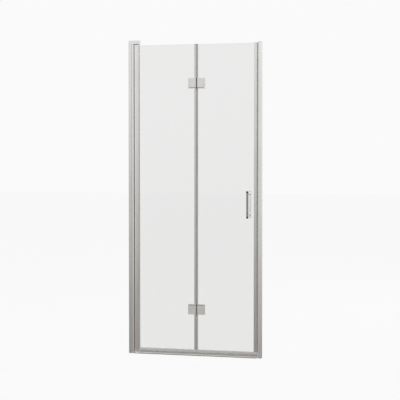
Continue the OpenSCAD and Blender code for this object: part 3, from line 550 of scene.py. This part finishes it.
def centre_seal(side):
    """Seal along a glass edge, in the three lengths that the hinges leave: two walls on the glass and a
    hollow nose, a circle cut off by a straight web."""
    node = side + "_centre_seal"
    low, high = corners_of(node)
    sign = SIDES[side]
    reach = high[0] - FOLD_X if sign > 0 else FOLD_X - low[0]
    glass_u = abs(corners_of(side + "_glass")[0 if sign > 0 else 1][0] - FOLD_X) - SEAT
    nose_u = CENTRE_NOSE + SLIDE_GAP
    web_u = glass_u - CENTRE_NOSE_WALL
    outer_y, inner_y = high[1], GLASS_Y + SEAT
    walls = arc_loop(
        [(nose_u, -outer_y), (reach, -outer_y), (reach, -inner_y), (glass_u, -inner_y), (glass_u, inner_y),
            (reach, inner_y), (reach, outer_y), (nose_u, outer_y)],
        [STRIP_EASE, WALL_TIP, SEAT, 0, 0, SEAT, WALL_TIP, STRIP_EASE])
    outline = np.concatenate([walls, arc((nose_u, 0), CENTRE_NOSE, 90, 270, 16)])
    hollow_r = CENTRE_NOSE - CENTRE_NOSE_WALL
    web_angle = math.degrees(math.acos((web_u - nose_u) / hollow_r))
    hollow = arc((nose_u, 0), hollow_r, web_angle, 360 - web_angle, 16)
    ends = [RAIL_TOP + SLIDE_GAP, HINGES[0][0][2] - SLIDE_GAP, HINGES[0][1][2] + SLIDE_GAP,
        HINGES[1][0][2] - SLIDE_GAP, HINGES[1][1][2] + PIN_HEAD + SLIDE_GAP, high[2]]
    place = np.array([sign, 1])
    loops = [loop * place + np.array([FOLD_X, 0]) for loop in (outline, hollow)]
    piece(node, joined([extrusion("z", loops, ends[i], ends[i + 1], CUT_EASE) for i in (0, 2, 4)]))


# ---- Glass ----
ARRIS = 0.7 * MM
NOTCH_REACH = 19.3 * MM
NOTCH_HALF = 21.8 * MM
NOTCH_EASE = 0.9 * MM
POST_HOLE = 4.0 * MM


def glass(side, holes):
    """Toughened pane with ground arrises, a notch at each hinge and drilled holes."""
    low, high = corners_of(side + "_glass")
    sign = SIDES[side]
    edge, far = (low[0], high[0]) if sign > 0 else (high[0], low[0])
    deep = FOLD_X + sign * NOTCH_REACH
    corners, radii = [(far, high[2]), (far, low[2]), (edge, low[2])], [ARRIS, ARRIS, ARRIS]
    for z in HINGE_Z:
        base, top = z - NOTCH_HALF, z + NOTCH_HALF
        corners += [(edge, base), (deep, base), (deep, top), (edge, top)]
        radii += [NOTCH_EASE] * 4
    corners.append((edge, high[2]))
    radii.append(ARRIS)
    rounds = [hole(centre, radius) for centre, radius in holes]
    piece(side + "_glass",
        extrusion("y", [arc_loop(corners, radii, 3), *rounds], low[1], high[1], ARRIS, 2))


# ---- Hinges ----
PLATE_EASE = 0.8 * MM
PLATE_RIM = 5.0 * MM
RIM_STEP = 1.0 * MM
FIELD_STOP = 1.0 * MM
GROOVE_WIDTH = 3.0 * MM
GROOVE_DEPTH = 0.8 * MM
GROOVE_EASE = 0.1 * MM
STRIP_MARGIN = 1.0 * MM
HEAD_HEIGHT = 2.0 * MM
SHANK_R = 2.5 * MM
SOCKET_R = 1.75 * MM
SOCKET_DEPTH = 1.6 * MM
HEAD_EASE = 0.4 * MM
FRONT_BITE = 3.6 * MM
PIN_R = 2.0 * MM
PIN_DOME = ((0.0, 0.0), (0.45, 0.06), (0.8, 0.3), (1.0, 0.7))  # shares of the head: out and down


def screw_places(side):
    """Centres of the four hinge screws of one panel, in X and Z, and the radius of their heads."""
    low, high = corners_of(f"hinge_screws_{side}")
    radius = (high[0] - low[0]) / 2
    pitch_half = high[2] - radius - HINGE_Z[1]
    x = (low[0] + high[0]) / 2
    return [(x, z + k * pitch_half) for z in HINGE_Z for k in (-1, 1)], radius


def screw_cuts(side, low, high, profile):
    """The profile turned about each screw of the plate between two corners."""
    return [turned("y", (x, 0, z), profile) for x, z in screw_places(side)[0] if low[2] < z < high[2]]


def hinge_back(level, side):
    """Cast plate with rounded edges and stepped holes for the screw heads."""
    node = f"{level}_hinge_back_{side}"
    low, high = corners_of(node)
    bore, rim = SHANK_R + SEAT, screw_places(side)[1] + SEAT
    front, back = low[1] - BEYOND, high[1] + BEYOND
    ledge = high[1] - (high[1] - low[1]) / 2
    profile = [(0, front), (bore, front), (bore, ledge), (rim, ledge), (rim, high[1] - HEAD_EASE),
        (rim + HEAD_EASE, high[1]), (rim + BEYOND, back), (0, back)]
    plate = soft_box(low, high, PLATE_EASE, 4)
    piece(node, combined("DIFFERENCE", plate, *screw_cuts(side, low, high, profile)))


def hinge_front(level, side):
    """Cast plate with rounded edges and blind screw holes on its inner side. A lower rim and a groove run
    round a raised field on the three free edges. The groove's floor toward the door's middle is painted
    shade."""
    node = f"{level}_hinge_front_{side}"
    low, high = corners_of(node)
    away = SIDES[side]
    inner, outer = (low[0], high[0]) if away > 0 else (high[0], low[0])
    bore, floor, back = SHANK_R + SEAT, high[1] - FRONT_BITE, high[1] + BEYOND
    rim_y = low[1] + RIM_STEP
    groove_y = rim_y + GROOVE_DEPTH

    def free_edges(depth):
        """Places of the three free edges drawn in by depth: across the door, below and above."""
        return outer - away * depth, low[2] + depth, high[2] - depth

    rim_x, rim_base, rim_top = free_edges(PLATE_RIM)
    field_x, base, top = free_edges(PLATE_RIM + GROOVE_WIDTH)
    beyond = inner - away * BEYOND
    line = [(beyond, rim_base), (rim_x, rim_base), (rim_x, rim_top), (beyond, rim_top),
        (beyond, top), (field_x, top), (field_x, base), (beyond, base)]
    strip_z = base if level == "upper" else top

    def painted_shade_strip(centres, normals):
        """Floor of the groove's strip on the side of the door's middle, painted darker as shade."""
        x, y, z = centres.T
        in_groove = (y > rim_y + SEAT / 2) & (y < groove_y + SEAT) & (normals[:, 1] < -TILT)
        return in_groove & (abs(z - strip_z) < GROOVE_WIDTH + STRIP_MARGIN) & (abs(x - outer) > STRIP_MARGIN)

    rim = soft_box((low[0], rim_y, low[2]), high, PLATE_EASE, 4)
    field = soft_box((min(inner, field_x), low[1], base),
        (max(inner, field_x), high[1] - FIELD_STOP, top), RIM_STEP / 2)
    cuts = screw_cuts(side, low, high, [(0, floor), (bore, floor), (bore, back), (0, back)])
    cuts.append(extrusion("y", [np.array(line)], rim_y - BEYOND, groove_y, GROOVE_EASE))
    # the groove strip toward the door's middle gets the painted shade
    piece(node, combined("DIFFERENCE", combined("UNION", rim, field), *cuts), (hinge_groove_painted_shade, painted_shade_strip))


def hinge_screws(side):
    """Cap screws with a hexagon socket, seen in the back plates."""
    node = f"hinge_screws_{side}"
    low, high = corners_of(node)
    places, head = screw_places(side)
    top = high[1]
    profile = [(0, top - SOCKET_DEPTH), (SOCKET_R, top - SOCKET_DEPTH, "hex"), (SOCKET_R, top, "hex"),
        (head - HEAD_EASE, top), (head - HEAD_EASE / 4, top - HEAD_EASE / 3), (head, top - HEAD_EASE),
        (head, top - HEAD_HEIGHT), (SHANK_R, top - HEAD_HEIGHT), (SHANK_R, low[1]), (0, low[1])]
    piece(node, joined([turned("y", (x, 0, z), profile) for x, z in places]))


def hinge_pin(level):
    """Pin with a domed head on top of the knuckles."""
    node = level + "_hinge_pin"
    low, high = corners_of(node)
    head = (high[0] - low[0]) / 2
    seat = high[2] - PIN_HEAD
    profile = [(out * head, high[2] - down * PIN_HEAD) for out, down in PIN_DOME]
    profile += [(head, seat), (PIN_R, seat), (PIN_R, low[2] + HEAD_EASE), (PIN_R - HEAD_EASE, low[2]),
        (0, low[2])]
    piece(node, turned("z", (FOLD_X, (low[1] + high[1]) / 2, 0), profile))


# ---- Sill, rails and caps ----
SILL_BACK = corners_of("sill")[1][1]
SILL_FRONT = corners_of("sill")[0][1]
SILL_TOP = corners_of("sill")[1][2]
LIP_HEIGHT = 6.0 * MM
LEDGE_HEIGHT = 6.5 * MM
RISER_Y = -14.0 * MM
SILL_WALL = 2.0 * MM
LIP_ROLL = 1.2 * MM
REBATE_Z = 13.5 * MM
REBATE_DEPTH = 0.6 * MM
LEDGE_HOLLOW = 0.9 * MM
SILL_EASE = 1.2 * MM
CASTING_EASE = 0.5 * MM
LUG_HALF = 10.0 * MM
LUG_HEIGHT = 12.0 * MM
LUG_LAP = 2.0 * MM
RAIL_FLOOR = 6.0 * MM
RAIL_EASE = 0.8 * MM
RAIL_TAPER = 0.5 * MM
RAIL_GROOVE = 1.0 * MM
KEY_NECK = 1.2 * MM
KEY_HALF = 2.2 * MM
KEY_LIP = 1.0 * MM
KEY_TOP = 4.6 * MM
CAP_EASE = 0.9 * MM
CAP_HOLLOW = 3.0 * MM
CAP_LAP = 1.0 * MM
JAMB_WALL = 1.6 * MM
PIN_SEAT = 17.0 * MM
PIN_BORE = 4.05 * MM


def sill_outline():
    """Sill in Y and Z: front lip, sloping ledge, riser with a rebate along its top edge, and flat top."""
    rebate = RISER_Y + REBATE_DEPTH
    return arc_loop(
        [(SILL_FRONT, 0), (SILL_FRONT, LIP_HEIGHT), (RISER_Y, LEDGE_HEIGHT), (RISER_Y, REBATE_Z),
            (rebate, REBATE_Z), (rebate, SILL_TOP), (SILL_BACK, SILL_TOP), (SILL_BACK, 0)],
        [SEAT, LIP_ROLL, LEDGE_HOLLOW, SEAT, SEAT, SILL_EASE, SILL_EASE, SEAT])


def lip_and_rebate_painted_shade(centres, normals):
    """Faces of the sill's lip and rebate, painted darker as shade and left unbrushed."""
    y, z = centres[:, 1], centres[:, 2]
    return (y < SILL_FRONT + SEAT) & (z < LIP_HEIGHT) | (normals[:, 1] < -FACING) & (z > REBATE_Z + SEAT)


def sill():
    """Extrusion with a chamber, open at its ends, where the shoe and the end block close it."""
    low, high = corners_of("sill")
    front, back = RISER_Y + SILL_WALL, SILL_BACK - SILL_WALL
    base, top = SILL_WALL, SILL_TOP - SILL_WALL
    chamber = np.array([(front, base), (back, base), (back, top), (front, top)])
    # lip and rebate faces get the painted shade
    piece("sill", extrusion("x", [sill_outline(), chamber], low[0], high[0], CUT_EASE),
        (sill_painted_shade, lip_and_rebate_painted_shade))


def sill_end(body_low, body_high, lug_low, lug_high):
    """Casting with the sill's outline and a lug that reaches to the jamb."""
    body = extrusion("x", [sill_outline()], body_low, body_high, CASTING_EASE, 3)
    lug = soft_box((lug_low, -LUG_HALF, 0), (lug_high, LUG_HALF, LUG_HEIGHT), CASTING_EASE)
    return combined("UNION", body, lug)


def bottom_pivot_shoe():
    """Left end of the sill, with a seat for the pivot pin."""
    low, high = corners_of("bottom_pivot_shoe")
    solid = sill_end(STILE_LOW[0], high[0], low[0], STILE_LOW[0] + LUG_LAP)
    floor = corners_of("bottom_pivot_pin")[0][2] - SEAT
    top = SILL_TOP + BEYOND
    seat = turned("z", (PIVOT_X, 0, 0), [(0, floor), (PIN_BORE, floor), (PIN_BORE, top), (0, top)])
    # lip and rebate faces get the painted shade
    piece("bottom_pivot_shoe", combined("DIFFERENCE", solid, seat), (sill_painted_shade, lip_and_rebate_painted_shade))


def sill_end_block():
    """Right end of the sill."""
    low, high = corners_of("sill_end_block")
    # lip and rebate faces get the painted shade
    piece("sill_end_block", sill_end(low[0], EDGE_HIGH[0], EDGE_HIGH[0] - LUG_LAP, high[0]),
        (sill_painted_shade, lip_and_rebate_painted_shade))


def bottom_rail(side):
    """Rail in Y and Z, with a front that falls back evenly towards its top: glass slot on top, a fine
    groove along the front, a keyway for the wiper below."""
    node = side + "_bottom_rail"
    low, high = corners_of(node)
    half, base, top = high[1], low[2], high[2]
    slot, floor = GLASS_Y + SEAT, base + RAIL_FLOOR
    groove, groove_y = floor + RAIL_GROOVE, RAIL_GROOVE - half
    groove_base, groove_top = groove - RAIL_GROOVE, groove + RAIL_GROOVE

    def front(z):
        """Place of the rail's front at a height."""
        return RAIL_TAPER * (z - base) / (top - base) - half

    corners = [(-half, base), (-KEY_NECK, base), (-KEY_NECK, base + KEY_LIP), (-KEY_HALF, base + KEY_LIP),
        (-KEY_HALF, base + KEY_TOP), (KEY_HALF, base + KEY_TOP), (KEY_HALF, base + KEY_LIP),
        (KEY_NECK, base + KEY_LIP), (KEY_NECK, base), (half, base), (half, top), (slot, top), (slot, floor),
        (-slot, floor), (-slot, top), (front(top), top), (front(groove_top), groove_top),
        (groove_y, groove_top), (groove_y, groove_base), (front(groove_base), groove_base)]
    outer_corners, lips = [0, 9, 10, 15], [11, 14, 16, 19]
    radii = np.zeros(len(corners))
    radii[outer_corners] = RAIL_EASE
    radii[lips] = SLOT_EASE
    piece(node, extrusion("x", [arc_loop(corners, radii, 5)], low[0], high[0]))


def spigot(jamb, low_z):
    """Plug of a cap inside its jamb."""
    low, high = corners_of(jamb)
    room = JAMB_WALL + SLIDE_GAP
    return soft_box((*(low[:2] + room), low_z), (*(high[:2] - room), PROFILE_TOP + CAP_LAP), CASTING_EASE)


def top_pivot_cap():
    """Cap on the jamb, with a hollow over the pivot stile whose faces are painted black as shade, and a seat
    for the pin.
    """
    low, high = corners_of("top_pivot_cap")
    body = soft_box((low[0], low[1], PROFILE_TOP), high, CAP_EASE, 4)
    seat = turned("z", (PIVOT_X, 0, PROFILE_TOP),
        [(0, -BEYOND), (PIN_BORE, -BEYOND), (PIN_BORE, PIN_SEAT), (0, PIN_SEAT)])
    start, hollow_top = corners_of("pivot_jamb")[1][0] + SEAT, PROFILE_TOP + CAP_HOLLOW
    hollow = soft_box((start, low[1] - BEYOND, PROFILE_TOP - BEYOND),
        (high[0] + BEYOND, high[1] + BEYOND, hollow_top), SEAT)

    def painted_shade_hollow(centres, normals):
        """Faces round the hollow, apart from those that face forward or up: painted black as shade."""
        near = (centres[:, 0] > start - SEAT) & (centres[:, 2] < hollow_top + SEAT)
        return near & (normals[:, 1] > -FACING) & (normals[:, 2] < FACING)

    solid = combined("UNION", body, spigot("pivot_jamb", low[2]))
    piece("top_pivot_cap", combined("DIFFERENCE", solid, hollow, seat), (painted_shade_black, painted_shade_hollow))


def strike_top_cap():
    """Thin cap on the strike jamb and its channel."""
    low, high = corners_of("strike_top_cap")
    body = soft_box((low[0], low[1], PROFILE_TOP), high, CASTING_EASE)
    piece("strike_top_cap", combined("UNION", body, spigot("strike_jamb", low[2])))


# ---- Screw covers ----
COVER_R = 5.5 * MM
COVER_WALL = 1.0 * MM
COVER_ROLL = 1.1 * MM
COVER_FALL = 0.05 * COVER_ROLL


def screw_covers():
    """Snap-on caps over the jamb screws: a short wall and a low dome with a rolled edge."""
    low, high = corners_of("jamb_screw_covers")
    heights = (low[2] + COVER_R, (low[2] + high[2]) / 2, high[2] - COVER_R)
    base, top = low[1], high[1]
    middle, ceiling, wall = COVER_R - COVER_ROLL, top - COVER_WALL, COVER_R - COVER_WALL
    outer = [(0, top), (COVER_R / 2, top - COVER_FALL)]
    outer += [(middle + COVER_ROLL * math.cos(a), top - COVER_ROLL + COVER_ROLL * math.sin(a))
        for a in np.radians(np.linspace(90, 0, 7))]
    inner = [(COVER_R, base), (wall, base), (wall, ceiling), (0, ceiling)]
    piece("jamb_screw_covers", joined([turned("y", (x, 0, z), outer + inner)
        for x in (low[0] + COVER_R, high[0] - COVER_R) for z in heights]))


# ---- Handles ----
STUD_R = 3.0 * MM
STUD_END = 8.0 * MM
WASHER_EASE = 0.4 * MM
WASHER_BEVEL = 0.6  # share of the washer's thickness at which its bevel starts
GRIP_EASE = 1.5 * MM
GRIP_DEPTH = 12.0 * MM
POST_R = 4.95 * MM
POST_EASE = 0.5 * MM
POST_ROOT = 2.0 * MM
PLUG_EASE = 0.8 * MM
PLUG_PIN_R = 2.0 * MM
PLUG_PIN_LENGTH = 6.0 * MM
PLUG_PIN_LAP = 1.0 * MM


def handle_posts():
    """Heights of the two posts, their place across the door and the radius of the washers on the glass."""
    low, high = corners_of("handle_washers")
    radius = (high[0] - low[0]) / 2
    return (low[2] + radius, high[2] - radius), (low[0] + high[0]) / 2, radius


def handle_washers():
    """Bevelled rings on both faces of the glass, under the posts."""
    heights, x, radius = handle_posts()
    top = corners_of("handle_washers")[1][1]
    bore = STUD_R + SEAT
    wall = [(bore, 0), (bore, 1), (radius - WASHER_EASE, 1), (radius, WASHER_BEVEL), (radius, 0)]
    rings = []
    for z in heights:
        for sign in (-1, 1):
            profile = [(r, sign * (GLASS_Y + share * (top - GLASS_Y))) for r, share in wall]
            rings.append(turned("y", (x, 0, z), profile))
    piece("handle_washers", joined(rings))


def grip_outline(node, sign):
    """Grip in X and Y: half-round towards the hand, with eased corners on its flat side."""
    low, high = corners_of(node)
    x, half = (low[0] + high[0]) / 2, (high[0] - low[0]) / 2
    far = max(abs(low[1]), abs(high[1]))
    middle, flat = far - half, far - GRIP_DEPTH
    front = arc((x, middle), half, 0, 180, 24)
    back = arc_loop([(x - half, middle), (x - half, flat), (x + half, flat), (x + half, middle)],
        [0, GRIP_EASE, GRIP_EASE, 0])
    return np.concatenate([front, back[1:-1]]) * np.array([1, sign]), flat


def handle(node, sign, end_ease):
    """Bar of the grip's outline on two posts, with eased ends and a hole for the stud in each post."""
    low, high = corners_of(node)
    heights, x = handle_posts()[:2]
    near = min(abs(low[1]), abs(high[1]))
    outline, flat = grip_outline(node, sign)
    grip = extrusion("z", [outline], low[2], high[2], end_ease, 5)
    root, deep, bore = flat + POST_ROOT, flat - STUD_END + SEAT, STUD_R + SEAT
    profile = [(0, root), (POST_R, root), (POST_R, near + POST_EASE), (POST_R - POST_EASE, near),
        (bore, near), (bore, deep), (0, deep)]
    profile = [(radius, sign * y) for radius, y in profile]
    posts = [turned("y", (x, 0, z), profile) for z in heights]
    return combined("UNION", grip, *posts)


def outer_handle():
    """Outer handle with its posts in a lighter nickel as painted light, and a blind hole in each end for the
    pin of its plug.
    """
    low, high = corners_of("handle_outer")
    plug_low, plug_high = corners_of("handle_end_plugs")
    centre = ((plug_low[0] + plug_high[0]) / 2, (plug_low[1] + plug_high[1]) / 2, 0)
    radius, depth = PLUG_PIN_R + SEAT, PLUG_PIN_LENGTH + SEAT
    holes = [turned("z", centre, [(0, end - depth), (radius, end - depth), (radius, end + depth),
        (0, end + depth)], 24) for end in (low[2], high[2])]
    flat_y = low[1] + GRIP_DEPTH

    def painted_light_posts(centres, normals):
        """Faces behind the grip's flat side: the posts, painted lighter as light."""
        return centres[:, 1] > flat_y + SEAT

    solid = handle("handle_outer", -1, CUT_EASE)
    # the posts get the painted light nickel
    piece("handle_outer", combined("DIFFERENCE", solid, *holes), (painted_light_nickel, painted_light_posts))


def end_plugs():
    """Black plugs that close both ends of the outer grip, eased outside, each with a pin in the grip."""
    low, high = corners_of("handle_end_plugs")
    grip_top = corners_of("handle_outer")[1][2]
    outline = grip_outline("handle_outer", -1)[0]
    x, y, middle = (low + high) / 2
    half, seam = high[2] - middle, grip_top - middle + SEAT
    solids = []
    for sign in (-1, 1):
        near, far = sorted((middle + sign * seam, middle + sign * half))
        plug = extrusion("z", [outline], near, far, PLUG_EASE, 4)
        root, tip = middle + sign * (seam + PLUG_PIN_LAP), middle + sign * (seam - PLUG_PIN_LENGTH)
        pin = turned("z", (x, y, 0), [(0, root), (PLUG_PIN_R, root), (PLUG_PIN_R, tip), (0, tip)], 24)
        solids.append(combined("UNION", plug, pin))
    piece("handle_end_plugs", joined(solids))


# ---- Making the pieces ----
pivot_stile()
handle_stile()
pivot_seal()
magnet_strip("strike_magnet", -1)
magnet_strip("door_magnet", 1)
sleeve_low, sleeve_high = corners_of("hinge_sleeves_left")
sleeve_r = (sleeve_high[0] - sleeve_low[0]) / 2
post_heights, handle_x = handle_posts()[:2]
for side in SIDES:
    holes = [(place, sleeve_r + SEAT) for place in screw_places(side)[0]]
    if side == "right":
        holes += [((handle_x, z), POST_HOLE) for z in post_heights]
    glass(side, holes)
    centre_seal(side)
    bottom_rail(side)
    hinge_screws(side)
    for level in LEVELS:
        hinge_front(level, side)
        hinge_back(level, side)
for level in LEVELS:
    hinge_pin(level)
sill()
bottom_pivot_shoe()
sill_end_block()
top_pivot_cap()
strike_top_cap()
screw_covers()
handle_washers()
outer_handle()
piece("handle_inner", handle("handle_inner", 1, GRIP_EASE))
end_plugs()

# ---- Camera ----
VIEW_YAW = 0.25471
VIEW_PITCH = -0.03614
VIEW_DISTANCE = 7.0838
VIEW_TARGET = Vector((0.03148, 0.0, 0.91385))
FOCAL_PIXELS = 1211.8
PHOTO_WIDTH = 400
SENSOR_MM = 36.0

ahead = Vector((-math.sin(VIEW_YAW) * math.cos(VIEW_PITCH), math.cos(VIEW_YAW) * math.cos(VIEW_PITCH),
    math.sin(VIEW_PITCH)))
camera_data = bpy.data.cameras.new("camera")
camera_data.sensor_width = SENSOR_MM
camera_data.lens = FOCAL_PIXELS * SENSOR_MM / PHOTO_WIDTH
camera = bpy.data.objects.new("camera", camera_data)
camera.location = VIEW_TARGET - ahead * VIEW_DISTANCE
camera.rotation_euler = ahead.to_track_quat("-Z", "Y").to_euler()
bpy.context.scene.collection.objects.link(camera)
bpy.context.scene.camera = camera

# ---- Light and floor ----
WHITE = 0.955
STUDIO_FADE = [(-1.0, 0.8), (-0.55, 0.7), (-0.32, 0.42), (-0.18, 0.21), (-0.10, 0.27), (-0.03, 0.51),
    (0.02, 0.7), (0.08, 0.89), (0.14, 0.98), (0.22, 1.0), (1.0, 1.0)]  # height of a ray and its level
WARM_POWERS = (1.0, 1.055, 1.11)
SIDE_LEAN = 0.33
RIGHT_LIMIT = 0.35
LEFT_LIMIT = -0.4
BACK_LEAN = 0.18
SIDE_FALL = 0.2
GLOSS_LEVEL = 1.0
DOME_LEVEL = 0.62
LAMP_SIZE = 2.4
DOOR_MIDDLE = Vector((0.0, 0.0, 0.9))
FLOOR_REACH = 30.0
FLOOR_EVEN = 0.96


def studio_light():
    """World light. What the camera sees, straight or through glass, is an even white. Metal sees the same
    white overhead, and more of it to the left and behind, fading through a warm grey to a pale floor."""
    world = bpy.data.worlds.new("studio")
    world.use_nodes = True
    bpy.context.scene.world = world
    tree = world.node_tree
    tree.nodes.clear()

    def add(kind, inputs=(), **settings):
        return add_node(tree, kind, inputs, **settings)

    def maths(operation, *values):
        return add("ShaderNodeMath", dict(enumerate(values)), operation=operation).outputs[0]

    toward = add("ShaderNodeSeparateXYZ", {0: add("ShaderNodeTexCoord").outputs["Generated"]})
    sideways = maths("MAXIMUM", maths("MINIMUM", toward.outputs["X"], RIGHT_LIMIT), LEFT_LIMIT)
    height = maths("MULTIPLY_ADD", sideways, -SIDE_LEAN, toward.outputs["Z"])
    height = maths("MULTIPLY_ADD", maths("MAXIMUM", toward.outputs["Y"], 0.0), BACK_LEAN, height)
    aside = maths("SUBTRACT", 1.0, maths("ABSOLUTE", toward.outputs["Y"]))
    height = maths("MULTIPLY_ADD", aside, -SIDE_FALL, height)
    fade = add("ShaderNodeValToRGB", {"Fac": maths("MULTIPLY_ADD", height, 0.5, 0.5)})
    stops = fade.color_ramp.elements
    while len(stops) < len(STUDIO_FADE):
        stops.new(0.5)
    for stop, (place, level) in zip(stops, STUDIO_FADE):
        stop.position = (place + 1) / 2
        stop.color = (*[level ** power for power in WARM_POWERS], 1)
    rays = add("ShaderNodeLightPath")
    seen = maths("MAXIMUM", rays.outputs["Is Camera Ray"], rays.outputs["Is Transmission Ray"])
    dome = add("ShaderNodeBackground", {"Color": (1, 1, 1, 1), "Strength": DOME_LEVEL})
    gloss = add("ShaderNodeBackground", {"Color": fade.outputs["Color"], "Strength": GLOSS_LEVEL})
    white = add("ShaderNodeBackground", {"Color": (1, 1, 1, 1), "Strength": WHITE})
    other = add("ShaderNodeMixShader", {0: rays.outputs["Is Glossy Ray"], 1: dome.outputs[0],
        2: gloss.outputs[0]})
    light = add("ShaderNodeMixShader", {0: seen, 1: other.outputs[0], 2: white.outputs[0]})
    tree.links.new(light.outputs[0], add("ShaderNodeOutputWorld").inputs["Surface"])


def soft_lamp(name, place, watts):
    """Wide round lamp that looks at the door's middle and shows in no reflection."""
    data = bpy.data.lights.new(name, "AREA")
    data.shape = "DISK"
    data.size = LAMP_SIZE
    data.energy = watts
    lamp = bpy.data.objects.new(name, data)
    lamp.location = place
    lamp.rotation_euler = (DOOR_MIDDLE - Vector(place)).to_track_quat("-Z", "Y").to_euler()
    lamp.visible_glossy = False
    bpy.context.scene.collection.objects.link(lamp)


def pale_floor():
    """Pale floor that the camera sees as the same white as the backdrop, with the door's soft shadow."""
    mesh = bpy.data.meshes.new("floor")
    corners = [(x * FLOOR_REACH, y * FLOOR_REACH, 0) for x, y in ((-1, -1), (1, -1), (1, 1), (-1, 1))]
    mesh.from_pydata(corners, [], [(0, 1, 2, 3)])
    floor = bpy.data.objects.new("floor", mesh)
    bpy.context.scene.collection.objects.link(floor)
    floor.visible_glossy = False
    finish = Finish("floor", Base_Color=(0.9, 0.9, 0.9, 1), Roughness=0.9, Specular_IOR_Level=0.0)
    tree = finish.tree
    rays = finish.add("ShaderNodeLightPath")
    seen = finish.add("ShaderNodeMath", {0: rays.outputs["Is Camera Ray"],
        1: rays.outputs["Is Transmission Ray"]}, operation="MAXIMUM").outputs[0]
    share = finish.add("ShaderNodeMath", {0: seen, 1: FLOOR_EVEN}, operation="MULTIPLY").outputs[0]
    even = finish.add("ShaderNodeEmission", {"Color": (1, 1, 1, 1), "Strength": WHITE})
    mix = finish.add("ShaderNodeMixShader", {0: share, 1: finish.shader.outputs[0], 2: even.outputs[0]})
    tree.links.new(mix.outputs[0], tree.nodes["Material Output"].inputs["Surface"])
    mesh.materials.append(finish.material)


studio_light()
soft_lamp("key_lamp", (-3.2, -4.2, 4.2), 150.0)
soft_lamp("back_lamp", (2.6, 3.4, 3.4), 90.0)
pale_floor()

bpy.context.scene.view_settings.view_transform = "Standard"
